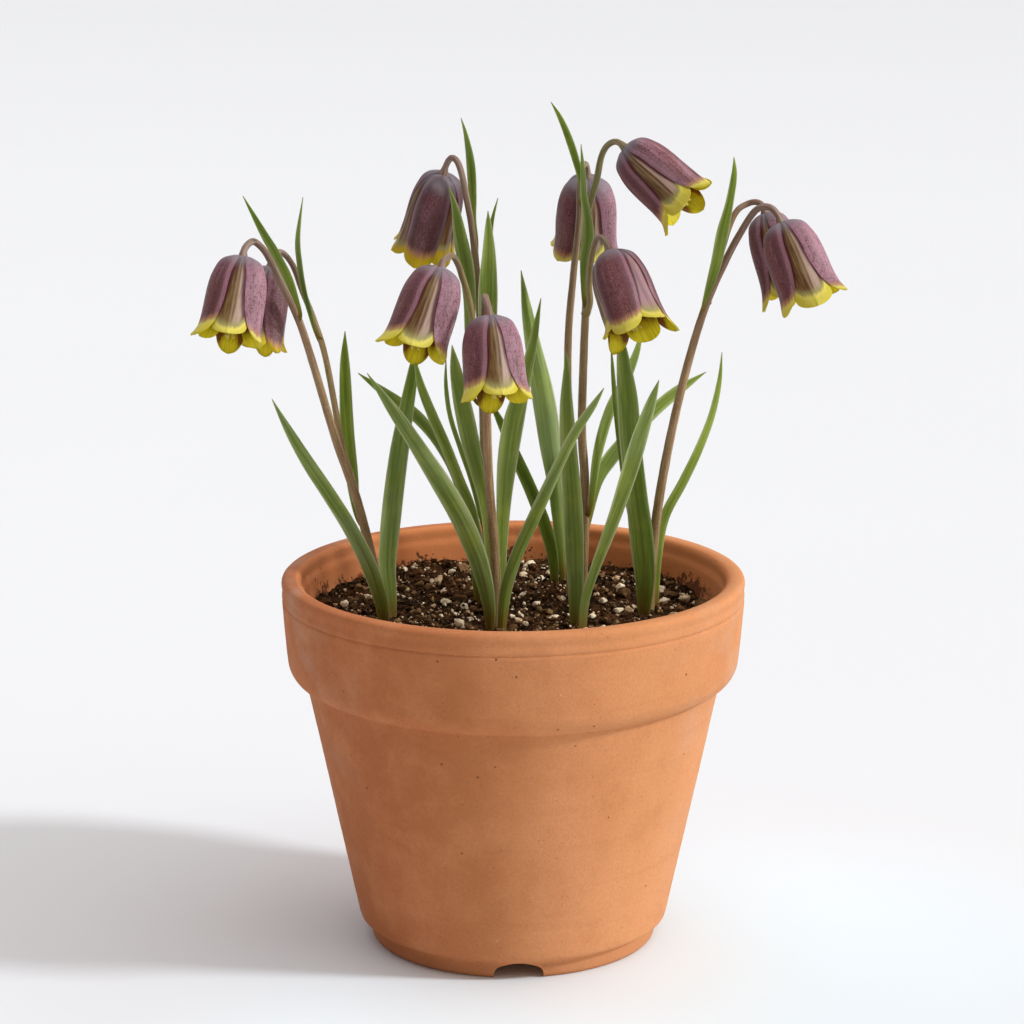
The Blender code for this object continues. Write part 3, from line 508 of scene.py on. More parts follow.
def grain_look():
    """Pale perlite and grit; 'tone' runs from white to brown."""
    k = Look("grains", Roughness=0.85)
    tone = k.attr("tone")
    fine = k.noise(1500.0, 4.0, 0.7)
    pore_d, _ = k.cells(1300.0)
    white = k.mix(k.step(fine, 0.30, 0.62), (0.720, 0.520, 0.300), (0.960, 0.820, 0.590))
    brown = k.mix(k.step(fine, 0.35, 0.70), (0.260, 0.125, 0.044), (0.680, 0.400, 0.185))
    col = k.mix(k.step(tone, 0.20, 0.85), white, brown)
    dirt = k.step(k.noise(500.0, 4.0, 0.65), 0.50, 0.68)
    col = k.mix(k.math("MULTIPLY", dirt, 0.55), col, (0.150, 0.072, 0.030))
    height = k.math("SUBTRACT", fine, k.step(pore_d, 0.30, 0.10, 0.0, 0.7))
    return k.finish(col, k.math("MULTIPLY_ADD", fine, 0.2, 0.72), k.bump(height, 0.00025, 0.8))


def leaf_look():
    """Glaucous leaf: parallel veins, pale thin margins, bronze foot. Tone: 0 blue-green, 1 fresh green."""
    k = Look("leaf", Roughness=0.52, Subsurface_Weight=0.12, Subsurface_Scale=0.004, Specular_IOR_Level=0.16)
    k.bsdf.inputs["Subsurface Radius"].default_value = (0.5, 1.0, 0.25)
    side, along, tone = k.attr("side"), k.attr("along"), k.attr("tone")
    across, length = k.attr("across_mm"), k.attr("length_mm")
    vein_at = k.vec(k.math("MULTIPLY", across, 1.1), k.math("MULTIPLY", length, 0.040), tone)
    streak = k.noise(1.0, 3.0, 0.55, vein_at)
    thin = k.noise(1.0, 2.0, 0.6, k.vec(k.math("MULTIPLY", across, 5.5), k.math("MULTIPLY", length, 0.06), tone))
    vein = k.math("SINE", k.math("MULTIPLY", k.math("ADD", across, k.math("MULTIPLY", streak, 0.35)), 7.4))
    blotch = k.noise(75.0, 3.0, 0.55)
    fine = k.noise(2200.0, 2.0, 0.6)
    fresh = k.mix(k.step(streak, 0.30, 0.72), (0.115, 0.160, 0.008), (0.235, 0.295, 0.022))
    blue = k.mix(k.step(streak, 0.30, 0.72), (0.118, 0.160, 0.028), (0.225, 0.272, 0.080))
    col = k.mix(tone, blue, fresh)
    col = k.mix(k.step(blotch, 0.48, 0.70, 0.0, 0.40), col, (0.290, 0.325, 0.048))
    col = k.mix(k.step(thin, 0.58, 0.74, 0.0, 0.22), col, (0.280, 0.310, 0.110))
    col = k.scale_by(col, k.math("MULTIPLY_ADD", vein, 0.012, 1.0))
    col = k.scale_by(col, k.math("MULTIPLY_ADD", fine, 0.20, 0.90))
    wax = k.math("MULTIPLY", k.step(k.noise(30.0, 3.0, 0.6), 0.42, 0.72), k.math("SUBTRACT", 1.0, tone, clamp=True))
    col = k.mix(k.math("MULTIPLY", wax, 0.36), col, (0.255, 0.305, 0.215))
    # painted sheen and painted shade: the blade is painted paler towards its margins and deeper along the middle
    painted_light_flank = k.math("MULTIPLY", k.step(k.math("ABSOLUTE", side), 0.38, 0.88), k.step(streak, 0.30, 0.62, 0.25, 1.0))
    painted_light_flank = k.math("MULTIPLY", painted_light_flank, k.step(along, 0.12, 0.50, 0.25, 1.0))
    col = k.mix(k.math("MULTIPLY", painted_light_flank, k.math("MULTIPLY_ADD", tone, -0.20, 0.60)), col, (0.390, 0.425, 0.215))
    edge = k.step(k.math("ABSOLUTE", side), 0.84, 0.96)
    col = k.mix(k.math("MULTIPLY", edge, 0.72), col, (0.450, 0.460, 0.260))
    # painted shade along the middle of the channel
    painted_crease_shade = k.step(k.math("ABSOLUTE", side), 0.16, 0.03)
    col = k.mix(k.math("MULTIPLY", painted_crease_shade, 0.36), col, (0.072, 0.110, 0.012))
    foot = k.step(along, 0.26, 0.06)
    col = k.mix(k.math("MULTIPLY", foot, 0.60), col, (0.170, 0.175, 0.018))
    col = k.mix(k.step(along, 0.150, 0.040, 0.0, 0.80), col, (0.185, 0.080, 0.016))
    tip = k.step(along, 0.965, 1.0)
    col = k.mix(k.math("MULTIPLY", tip, 0.75), col, (0.260, 0.215, 0.085))
    height = k.math("ADD", k.math("MULTIPLY", vein, 0.14), k.math("MULTIPLY", streak, 0.8))
    height = k.math("ADD", height, k.math("MULTIPLY_ADD", fine, 0.25, k.math("MULTIPLY", thin, 0.5)))
    rough = k.math("ADD", k.math("MULTIPLY_ADD", streak, 0.16, 0.42), k.math("MULTIPLY", wax, 0.10))
    return k.finish(col, rough, k.bump(height, 0.00012, 0.7))


def stem_look():
    """Brown-rose stem with grey bloom; 'green' is 1 where it is green."""
    k = Look("stem", Roughness=0.5, Subsurface_Weight=0.06, Subsurface_Scale=0.002, Specular_IOR_Level=0.30)
    green, along = k.attr("green"), k.attr("along")
    around, length = k.attr("around"), k.attr("length_mm")
    line = k.noise(1.0, 3.0, 0.6, k.vec(k.math("MULTIPLY", k.math("COSINE", around), 2.2),
                                      k.math("MULTIPLY", k.math("SINE", around), 2.2),
                                      k.math("MULTIPLY", length, 0.10)))
    dots = k.noise(1700.0, 3.0, 0.65)
    col = k.mix(k.step(line, 0.32, 0.68), (0.225, 0.125, 0.050), (0.420, 0.270, 0.130))
    col = k.mix(k.step(dots, 0.50, 0.68, 0.0, 0.45), col, (0.430, 0.310, 0.210))
    col = k.mix(k.step(dots, 0.46, 0.30, 0.0, 0.40), col, (0.170, 0.080, 0.045))
    # rose-grey towards the flower
    col = k.mix(k.step(along, 0.50, 0.92, 0.0, 0.78), col, (0.190, 0.102, 0.080))
    col = k.mix(k.math("MULTIPLY", k.step(along, 0.60, 0.95, 0.0, 0.50), k.step(line, 0.44, 0.66)), col, (0.400, 0.350, 0.300))
    leafy = k.mix(k.step(line, 0.35, 0.65), (0.160, 0.185, 0.030), (0.250, 0.265, 0.065))
    col = k.mix(k.math("MULTIPLY", green, k.step(line, 0.10, 0.55, 0.65, 1.0)), col, leafy)
    height = k.math("ADD", line, k.math("MULTIPLY", dots, 0.6))
    return k.finish(col, k.math("MULTIPLY_ADD", dots, 0.25, 0.38), k.bump(height, 0.00012, 0.7))


def petal_look(name, plum, lilac, stripe, cream, lip, deep):
    """Bell petal: 'side' -1..1 across, 'down' 0..1.07 along the bell, 'kind' 0 inner 1 outer, 'inside' 1 within."""
    k = Look(name, Roughness=0.5, Subsurface_Weight=0.08, Subsurface_Scale=0.003, Specular_IOR_Level=0.22)
    k.bsdf.inputs["Subsurface Radius"].default_value = (1.0, 0.45, 0.3)
    side, down, kind, within = k.attr("side"), k.attr("down"), k.attr("kind"), k.attr("inside")
    across, length, seed = k.attr("across_mm"), k.attr("length_mm"), k.attr("seed")
    rim, gap, reach, painted_light = k.attr("rim"), k.attr("gap"), k.attr("lip"), k.attr("painted_light")
    streak = k.noise(1.0, 3.0, 0.6, k.vec(k.math("MULTIPLY", across, 0.55), k.math("MULTIPLY", length, 0.07), seed))
    fine_streak = k.noise(1.0, 2.0, 0.6, k.vec(k.math("MULTIPLY", across, 2.2), k.math("MULTIPLY", length, 0.12), seed))
    speck = k.noise(1.0, 2.0, 0.65, k.vec(k.math("MULTIPLY", across, 2.6), k.math("MULTIPLY", length, 1.7), k.math("ADD", seed, 3.0)))
    mott = k.noise(1.0, 3.0, 0.6, k.vec(k.math("MULTIPLY", across, 0.5), k.math("MULTIPLY", length, 0.28), k.math("ADD", seed, 7.0)))
    edge = k.math("ABSOLUTE", side)
    # outer petals: plum to lilac, finely speckled; a dark band inside a thin pale margin
    # painted light and shade: petals marked lit lean to lilac, those marked shaded to plum
    shade = k.math("ADD", streak, k.math("MULTIPLY_ADD", painted_light, 0.44, -0.22))
    outer = k.mix(k.step(shade, 0.33, 0.67), plum, lilac)
    # magenta streaks high up, brown and grey ones lower down
    outer = k.mix(k.math("MULTIPLY", k.step(fine_streak, 0.50, 0.66, 0.0, 0.60), k.step(down, 0.80, 0.20)), outer, (0.250, 0.055, 0.120))
    outer = k.mix(k.math("MULTIPLY", k.step(fine_streak, 0.48, 0.34, 0.0, 0.55), k.step(down, 0.10, 0.60, 0.2, 1.0)), outer, (0.150, 0.078, 0.050))
    outer = k.mix(k.math("MULTIPLY", k.step(speck, 0.49, 0.62), k.step(mott, 0.32, 0.60, 0.22, 0.72)), outer, (0.085, 0.016, 0.028))
    # pale specks, more of them on petals with painted light
    outer = k.mix(k.math("MULTIPLY", k.step(speck, 0.46, 0.34), k.math("MULTIPLY_ADD", painted_light, 0.24, 0.10)), outer, (0.440, 0.280, 0.325))
    # a dark band inside the margin, painted darker on the shaded petals as painted shade
    band = k.math("MULTIPLY", k.step(gap, 1.0, 1.8), k.step(gap, 5.4, 2.2))
    outer = k.mix(k.math("MULTIPLY", band, k.math("MULTIPLY_ADD", painted_light, -0.34, 0.62)), outer, deep)
    # a rosy band inside the margin, stronger on petals with painted shade; painted sheen: a greyer flank on the far
    # side of each shaded petal and a paler flank on the other side of each lit petal
    rosy = k.math("MULTIPLY", k.step(gap, 0.10, 0.45), k.step(gap, 1.7, 0.9))
    outer = k.mix(k.math("MULTIPLY", rosy, k.math("MULTIPLY_ADD", painted_light, -0.15, 0.46)), outer, (0.290, 0.100, 0.150))
    # painted shadow: a dark line along the very margin, where the petal's edge overlaps its neighbour
    outer = k.mix(k.step(gap, 0.30, 0.08, 0.0, 0.40), outer, (0.140, 0.040, 0.055))
    # painted sheen on the petal flanks
    shade = k.math("MULTIPLY_ADD", painted_light, -0.30, 0.30)
    outer = k.mix(k.math("MULTIPLY", k.step(edge, 0.40, 0.85), k.math("MULTIPLY", k.step(side, 0.0, 0.4), shade)), outer, (0.320, 0.235, 0.240))
    painted_sheen_share = k.math("MULTIPLY_ADD", painted_light, 0.26, 0.06)
    outer = k.mix(k.math("MULTIPLY", k.step(edge, 0.40, 0.85), k.math("MULTIPLY", k.step(side, 0.0, -0.4), painted_sheen_share)), outer, (0.420, 0.320, 0.340))
    # inner petals: olive brown, fine lines, a pale flank beside the midrib that is painted light, and painted shadow
    # beside the outer petals
    inner = k.mix(k.step(streak, 0.38, 0.62), stripe, (0.185, 0.112, 0.034))
    inner = k.mix(k.step(fine_streak, 0.50, 0.40, 0.0, 0.60), inner, (0.080, 0.026, 0.010))
    inner = k.mix(k.step(fine_streak, 0.58, 0.70, 0.0, 0.30), inner, cream)
    # painted light: the flank towards the light is painted cream
    painted_light_flank = k.math("MULTIPLY", k.step(side, -0.60, -0.42), k.step(side, -0.10, -0.20))
    inner = k.mix(k.math("MULTIPLY", painted_light_flank, k.step(fine_streak, 0.30, 0.55, 0.60, 0.95)), inner, cream)
    rib = k.math("MULTIPLY", k.step(side, -0.07, -0.02), k.step(side, 0.07, 0.02))
    inner = k.mix(k.math("MULTIPLY", rib, 0.35), inner, cream)
    # painted light: an inner petal marked fully lit is painted lilac like its neighbours
    inner = k.mix(k.step(painted_light, 0.85, 0.98, 0.0, 0.78), inner, k.mix(k.step(streak, 0.34, 0.66), (0.250, 0.140, 0.150), lilac))
    # painted shadow of the outer petals' edges on the inner petal
    inner = k.mix(k.step(gap, 1.80, 0.55, 0.0, 0.96), inner, deep)
    inner = k.mix(k.math("MULTIPLY", k.step(rim, 8.0, 3.5, 0.0, 0.35), k.step(edge, 0.75, 0.35)), inner, (0.290, 0.235, 0.075))
    skin = k.mix(kind, inner, outer)
    # grey bloom on the shoulders
    skin = k.mix(k.math("MULTIPLY", k.step(down, 0.25, 0.03), k.step(mott, 0.25, 0.60, 0.50, 0.86)), skin, (0.205, 0.180, 0.200))
    # yellow lips that follow the rim
    lip_at = k.math("SUBTRACT", k.math("ADD", rim, k.math("MULTIPLY", k.math("SUBTRACT", fine_streak, 0.5), 3.0)), reach)
    corner = k.step(edge, 0.35, 1.0)
    lip_at = k.math("SUBTRACT", lip_at, k.math("MULTIPLY", corner, 1.3))
    peach = k.mix(kind, (0.300, 0.260, 0.085), (0.400, 0.205, 0.095))
    skin = k.mix(k.step(lip_at, 2.60, 0.10), skin, peach)
    skin = k.mix(k.step(lip_at, 0.60, -1.10), skin, lip)
    skin = k.mix(k.math("MULTIPLY", k.step(lip_at, -0.6, -2.6), k.math("MULTIPLY_ADD", corner, 0.35, 0.40)), skin, (0.500, 0.405, 0.008))
    # within: yellow with brown marks; darker further in and at the sides, painted shade partly over its own dark base
    yellow = k.mix(k.step(fine_streak, 0.28, 0.62), (0.520, 0.415, 0.002), (0.720, 0.600, 0.006))
    yellow = k.mix(k.math("MULTIPLY", k.step(speck, 0.54, 0.66), k.step(rim, 1.5, 4.5, 0.0, 0.50)), yellow, (0.230, 0.120, 0.002))
    # painted shade: the yellow darkens with depth into the bell and towards its sides
    depth = k.math("MULTIPLY_ADD", k.step(edge, 0.25, 0.85), 3.4, rim)
    depth = k.math("ADD", depth, k.math("MULTIPLY", k.math("SUBTRACT", mott, 0.5), 3.0))
    yellow = k.mix(k.step(depth, 3.6, 6.0, 0.0, 0.45), yellow, (0.300, 0.190, 0.003))
    yellow = k.mix(k.step(depth, 5.2, 7.2, 0.0, 0.92), yellow, (0.110, 0.022, 0.003))
    col = k.mix(within, skin, yellow)
    height = k.math("ADD", k.math("MULTIPLY", fine_streak, 0.9), k.math("MULTIPLY", streak, 0.5))
    height = k.math("ADD", height, k.math("MULTIPLY", speck, 0.35))
    rough = k.math("MULTIPLY_ADD", mott, 0.28, 0.36)
    return k.finish(col, rough, k.bump(height, 0.00020, 0.6))


def stamen_look():
    k = Look("stamens", Roughness=0.6, Subsurface_Weight=0.1, Subsurface_Scale=0.002)
    tone = k.attr("tone")
    fine = k.noise(2600.0, 3.0, 0.65)
    pale = k.mix(k.step(fine, 0.35, 0.68), (0.480, 0.400, 0.060), (0.700, 0.600, 0.160))
    pollen = k.mix(k.step(fine, 0.35, 0.68), (0.480, 0.330, 0.030), (0.720, 0.540, 0.100))
    col = k.mix(tone, pale, pollen)
    return k.finish(col, k.math("MULTIPLY_ADD", fine, 0.3, 0.5), k.bump(fine, 0.00015, 0.8))


FLOOR_Y = 4.0


def floor_look():
    k = Look("studio_floor", Roughness=0.75)
    soft = k.noise(3.0, 2.0, 0.5)
    fine = k.noise(900.0, 2.0, 0.6)
    x, y, z = k.xyz()
    col = k.mix(k.step(soft, 0.3, 0.7), (0.746, 0.751, 0.757), (0.751, 0.756, 0.762))
    y = k.math("ADD", y, FLOOR_Y)
    col = k.mix(k.step(y, 0.5, 4.5, 0.0, 1.0), col, (0.680, 0.684, 0.688))
    # balances the warm light that the clay throws on the floor beside it, and its shade in front
    dx, dy = k.math("SUBTRACT", x, 0.070), k.math("ADD", y, 0.030)
    near = k.math("SQRT", k.math("ADD", k.math("MULTIPLY", dx, dx), k.math("MULTIPLY", dy, dy)))
    col = k.mix(k.step(near, 0.165, 0.025, 0.0, 0.95), col, (0.730, 0.838, 0.885))
    dx, dy = k.math("ADD", x, 0.012), k.math("ADD", y, 0.085)
    front = k.math("SQRT", k.math("ADD", k.math("MULTIPLY", dx, dx), k.math("MULTIPLY", dy, dy)))
    col = k.mix(k.step(front, 0.130, 0.030, 0.0, 0.85), col, (0.845, 0.905, 0.925))
    return k.finish(col, k.math("MULTIPLY_ADD", fine, 0.05, 0.72), k.bump(fine, 0.00002, 0.3))


# ---------------------------------------------------------------- pot
def pot_outline():
    """Closed profile (radius, height) in mm: drain hole, foot, body, collar, lip, inner wall, floor."""
    p = [(DRAIN_R_MM + 0.5, RECESS_MM + 0.1), (DRAIN_R_MM + 1.4, RECESS_MM), (16.0, RECESS_MM), (26.0, RECESS_MM - 0.1),
         (FOOT_IN_R_MM - 3.0, RECESS_MM), (FOOT_IN_R_MM - 1.2, RECESS_MM - 0.5), (FOOT_IN_R_MM, RECESS_MM - 1.8),
         (FOOT_IN_R_MM + 0.5, 0.9), (FOOT_IN_R_MM + 1.1, 0.15), (FOOT_IN_R_MM + 2.2, 0.0), (42.5, 0.0),
         (FOOT_R_MM - 1.6, 0.0), (FOOT_R_MM - 0.7, 0.2), (FOOT_R_MM - 0.1, 0.8), (FOOT_R_MM + 0.1, 1.8),
         (FOOT_R_MM + 0.25, 3.6), (FOOT_R_MM + 0.35, 4.9), (FOOT_R_MM + 0.45, 5.5), (FOOT_R_MM + 0.75, 5.9),
         (FOOT_R_MM + 1.6, 6.25), (BODY_LOW_R_MM - 1.0, 6.8), (BODY_LOW_R_MM - 0.35, 7.5), (BODY_LOW_R_MM, 8.6)]
    n = 54
    for i in range(1, n):
        t = i / n
        p.append((BODY_LOW_R_MM + (BODY_TOP_R_MM - BODY_LOW_R_MM) * t,
                  BODY_LOW_Z_MM + (COLLAR_LOW_Z_MM - 0.2 - BODY_LOW_Z_MM) * t))
    p += [(BODY_TOP_R_MM + 0.02, COLLAR_LOW_Z_MM + 0.3), (BODY_TOP_R_MM + 0.25, COLLAR_LOW_Z_MM + 1.15),
          (BODY_TOP_R_MM + 1.1, COLLAR_LOW_Z_MM + 1.75)]
    # rounded under-edge of the collar
    for i in range(11):
        a = math.radians(-66 + 62 * i / 10)
        p.append((BODY_TOP_R_MM + 0.2 + 5.9 * math.cos(a), COLLAR_LOW_Z_MM + 8.9 + 7.1 * math.sin(a)))
    for i in range(1, 12):
        t = i / 12
        p.append((BODY_TOP_R_MM + 6.1 + (RIM_R_MM - 0.15 - BODY_TOP_R_MM - 6.1) * t ** 0.85, 94.5 + (113.3 - 94.5) * t))
    p += [(74.88, 113.35), (74.82, 113.75), (74.54, 114.15), (74.50, 114.4), (74.80, 114.85), (74.92, 115.3),
          (74.92, 116.0), (74.78, 116.7), (74.72, 117.4), (74.80, 118.1), (74.96, 118.7), (75.02, 119.2),
          (75.02, 119.7), (74.94, 120.2), (74.74, 120.7), (74.36, 121.1), (73.8, 121.4), (73.1, 121.56), (72.2, 121.6),
          (71.3, 121.58), (70.4, 121.4), (69.7, 121.05), (69.15, 120.5), (68.85, 119.8), (68.72, 118.9), (68.66, 117.9),
          (68.5, 117.2), (68.2, 116.6), (67.85, 115.9), (67.62, 115.0), (67.48, 113.6)]
    for i in range(1, 26):
        t = i / 25
        z = 112.6 + (16.0 - 112.6) * t
        p.append((float(np.interp(z, (16.0, 19.0, 45.0, 80.0, 110.0, 113.6), (45.4, 46.2, 51.9, 59.6, 67.3, 67.5))), z))
    p += [(44.9, 13.6), (43.6, 12.0), (41.6, 11.2), (38.0, FLOOR_TOP_MM), (28.0, FLOOR_TOP_MM - 0.1),
          (16.0, FLOOR_TOP_MM), (DRAIN_R_MM + 1.6, FLOOR_TOP_MM), (DRAIN_R_MM + 0.6, FLOOR_TOP_MM - 0.3),
          (DRAIN_R_MM, FLOOR_TOP_MM - 1.1), (DRAIN_R_MM, 8.0), (DRAIN_R_MM, RECESS_MM + 0.9)]
    return p


def build_pot(mat):
    outline = pot_outline()
    sides = 256
    verts, faces = [], []
    for i, (r, z) in enumerate(outline):
        outer = i < len(outline) * 0.72
        for j in range(sides):
            a = 2 * math.pi * j / sides
            ca, sa = math.cos(a), math.sin(a)
            rr, zz = r, z
            if z > 7.2:
                # thrown by hand: slow swellings and fine turning ridges
                slow = noise.noise(Vector((ca * 1.3, sa * 1.3, z / 38.0 + (0 if outer else 9))))
                ridge = noise.noise(Vector((ca * 0.5, sa * 0.5, z / 1.9 + (0 if outer else 40))))
                fade = 1.0 if 10 < z < 84 or 95 < z < 113 or not outer else 0.35
                rr += 0.13 * slow + 0.05 * ridge * fade
            if z > 119.0:
                zz += 0.10 * noise.noise(Vector((ca * 2.1, sa * 2.1, 3.0)))
            verts.append((rr * MM * ca, rr * MM * sa, zz * MM))
    rings = len(outline)
    for i in range(rings):
        k = (i + 1) % rings
        for j in range(sides):
            m = (j + 1) % sides
            faces.append((i * sides + j, i * sides + m, k * sides + m, k * sides + j))
    raw = add_mesh("pot_raw", verts, faces, mat, 0)
    outward(raw)
    # arched notches through the foot ring
    cv, cf = [], []
    steps = 28
    for angle in NOTCH_ANGLES:
        a = math.radians(angle)
        out = Vector((math.cos(a), math.sin(a), 0.0))
        side = Vector((-math.sin(a), math.cos(a), 0.0))
        base = len(cv)
        n = steps + 3
        for dist in (FOOT_IN_R_MM - 8.0, FOOT_R_MM + 5.0):
            for q in range(steps + 1):
                t = math.pi * q / steps
                c, s = math.cos(t), math.sin(t)
                x = NOTCH_W_MM / 2 * math.copysign(abs(c) ** 0.9, c)
                z = NOTCH_H_MM * abs(s) ** 0.62 + 0.12 * math.sin(5 * t + angle)
                cv.append(tuple(out * dist * MM + side * x * MM + Vector((0, 0, z * MM))))
            cv.append(tuple(out * dist * MM + side * (-NOTCH_W_MM / 2) * MM + Vector((0, 0, -3 * MM))))
            cv.append(tuple(out * dist * MM + side * (NOTCH_W_MM / 2) * MM + Vector((0, 0, -3 * MM))))
        for q in range(n):
            w = (q + 1) % n
            cf.append((base + q, base + w, base + n + w, base + n + q))
        cf.append(tuple(base + q for q in range(n)))
        cf.append(tuple(base + n + q for q in range(n)))
    cutter = add_mesh("notch_tool", cv, cf, mat, 0)
    outward(cutter)
    cut = raw.modifiers.new("notches", "BOOLEAN")
    cut.operation, cut.solver, cut.object = "DIFFERENCE", "EXACT", cutter
    dg = bpy.context.evaluated_depsgraph_get()
    mesh = bpy.data.meshes.new_from_object(raw.evaluated_get(dg))
    bpy.data.objects.remove(raw, do_unlink=True)
    bpy.data.objects.remove(cutter, do_unlink=True)
    mesh.name = "terracotta_pot"
    mesh.shade_smooth()
    mesh.set_sharp_from_angle(angle=math.radians(38))
    mesh.materials.clear()
    mesh.materials.append(mat)
    pot = bpy.data.objects.new("terracotta_pot", mesh)
    bpy.context.scene.collection.objects.link(pot)
    return pot


# ---------------------------------------------------------------- soil
def soil_height(x_mm, y_mm):
    """Height of the soil's surface in mm: gently uneven, with a hollow left of the middle."""
    h = SOIL_Z_MM
    h += 0.5 * math.sin(x_mm / 13.0 + 0.8) * math.cos(y_mm / 15.0)
    h += 0.4 * math.sin(y_mm / 11.0 - x_mm / 19.0)
    h -= 2.0 * math.exp(-((x_mm + 21.0) ** 2 + (y_mm - 6.0) ** 2) / (2 * 10.0 ** 2))
    h -= 0.9 * math.exp(-((x_mm - 56.0) ** 2 + (y_mm - 20.0) ** 2) / (2 * 14.0 ** 2))
    h += 0.9 * math.exp(-((x_mm - 6.0) ** 2 + (y_mm - 58.0) ** 2) / (2 * 20.0 ** 2))
    return h


def rough_soil(x, y):
    """Soil height with its clods and crumbs."""
    h = soil_height(x, y)
    clod = noise.noise(Vector((x / 7.5, y / 7.5, 2.0)))
    crumb = noise.noise(Vector((x / 2.3, y / 2.3, 5.0)))
    bit = noise.noise(Vector((x / 0.95, y / 0.95, 8.0)))
    edge = max(0.0, (math.hypot(x, y) - 60.0) / 7.0)
    return h + 1.5 * clod + 1.9 * abs(crumb) - 0.6 + 0.55 * bit + 0.8 * edge


def build_soil(mat):
    edge_r = 67.25
    rings, sides = 112, 336
    verts = [(0.0, 0.0, rough_soil(0, 0) * MM)]
    for i in range(1, rings + 1):
        r = edge_r * i / rings
        for j in range(sides):
            a = 2 * math.pi * j / sides
            x, y = r * math.cos(a), r * math.sin(a)
            h = rough_soil(x, y)
            if i == rings:
                h = min(h, 110.5)
            verts.append((x * MM, y * MM, h * MM))
    low = [(66.6, 106.5), (59.2, 80.0), (51.5, 45.0), (45.8, 19.2), (43.6, 13.4), (40.0, 11.3)]
    for r, z in low:
        for j in range(sides):
            a = 2 * math.pi * j / sides
            verts.append((r * MM * math.cos(a), r * MM * math.sin(a), z * MM))
    faces = []
    for j in range(sides):
        faces.append((0, 1 + j, 1 + (j + 1) % sides))
    total = rings + len(low)
    for i in range(total - 1):
        for j in range(sides):
            m = (j + 1) % sides
            a, b = 1 + i * sides, 1 + (i + 1) * sides
            faces.append((a + j, b + j, b + m, a + m))
    last = 1 + (total - 1) * sides
    verts.append((0.0, 0.0, 11.3 * MM))
    for j in range(sides):
        faces.append((last + (j + 1) % sides, last + j, len(verts) - 1))
    obj = add_mesh("potting_soil", verts, faces, mat, 0)
    outward(obj)
    return obj


def lump_shapes(count, rng, level=2, rough=0.35, facet=0.9):
    """Template lumps: knobbly unit spheres as (verts, faces)."""
    bm = bmesh.new()
    bmesh.ops.create_icosphere(bm, subdivisions=level, radius=1.0)
    bm.verts.ensure_lookup_table()
    base = np.array([v.co[:] for v in bm.verts])
    faces = np.array([[v.index for v in f.verts] for f in bm.faces])
    bm.free()
    out = []
    for _ in range(count):
        s = float(rng.uniform(0, 90))
        v = base.copy()
        for i, p in enumerate(base):
            n = noise.noise(Vector(p * 1.3 + s)) * rough + noise.noise(Vector(p * 3.1 - s)) * rough * 0.45
            v[i] = p * (1 + n)
        for _cut in range(3):
            # broken faces
            d = rng.normal(size=3)
            d /= np.linalg.norm(d)
            h = v @ d
            over = np.maximum(h - facet * rng.uniform(0.55, 0.85), 0)
            v -= np.outer(over * 0.85, d)
        out.append((v, faces))
    return out


def scatter(name, mat, shapes, items, smooth=50.0):
    """Many lumps as one mesh; items are (x, y, z, sx, sy, sz, spin, tilt, tone) in mm."""
    vs, fs, tones, base = [], [], [], 0
    for n, (x, y, z, sx, sy, sz, spin, tilt, tone) in enumerate(items):
        v, f = shapes[n % len(shapes)]
        p = v * np.array([sx, sy, sz])
        ct, st = math.cos(tilt), math.sin(tilt)
        p = p @ np.array([[1, 0, 0], [0, ct, st], [0, -st, ct]])
        cs, ss = math.cos(spin), math.sin(spin)
        p = p @ np.array([[cs, ss, 0], [-ss, cs, 0], [0, 0, 1]])
        vs.append((p + np.array([x, y, z])) * MM)
        fs.append(f + base)
        base += len(v)
        tones.append(np.full(len(v), tone))
    verts = np.concatenate(vs)
    faces = [tuple(int(i) for i in f) for f in np.concatenate(fs)]
    return add_mesh(name, verts, faces, mat, smooth, {"tone": np.concatenate(tones)})


# stones and grit that stand out: on the front chart (u, v), size in mm, tone (0 white .. 1 brown)
PEBBLES = [
    (463, 569, 2.3, 0.35), (452, 573, 1.5, 0.15), (471, 571, 1.4, 0.7), (530, 568, 2.2, 0.30), (540, 577, 1.9, 0.10),
    (524, 577, 1.6, 0.55), (549, 574, 1.7, 0.45), (620, 590, 1.8, 0.05), (603, 602, 1.7, 0.10), (660, 588, 1.9, 0.20),
    (665, 600, 1.8, 0.15), (403, 572, 1.8, 0.25), (355, 577, 2.0, 0.30), (446, 604, 1.6, 0.20), (536, 606, 1.5, 0.10),
    (513, 618, 1.4, 0.15), (555, 616, 1.5, 0.30), (470, 620, 1.3, 0.20), (592, 620, 1.3, 0.15), (420, 616, 1.5, 0.40),
    (345, 606, 1.6, 0.30), (367, 596, 1.3, 0.10), (432, 581, 1.3, 0.25), (634, 606, 1.3, 0.35), (618, 612, 1.4, 0.10),
    (681, 598, 1.4, 0.35), (522, 596, 1.2, 0.20), (563, 600, 1.3, 0.20),
]


def soil_point(u, v):
    """Where the sight line (u, v) meets the soil, in mm from the pot's axis."""
    depth = 0.0
    for _ in range(30):
        p = chart(u, v, depth) / MM
        h = soil_height(p.x, p.y)
        depth += (p.z - h) / math.tan(VIEW_DIP + math.atan((v - VIEW_V0) / VIEW_SCALE)) * 0.9
    return chart(u, v, depth) / MM


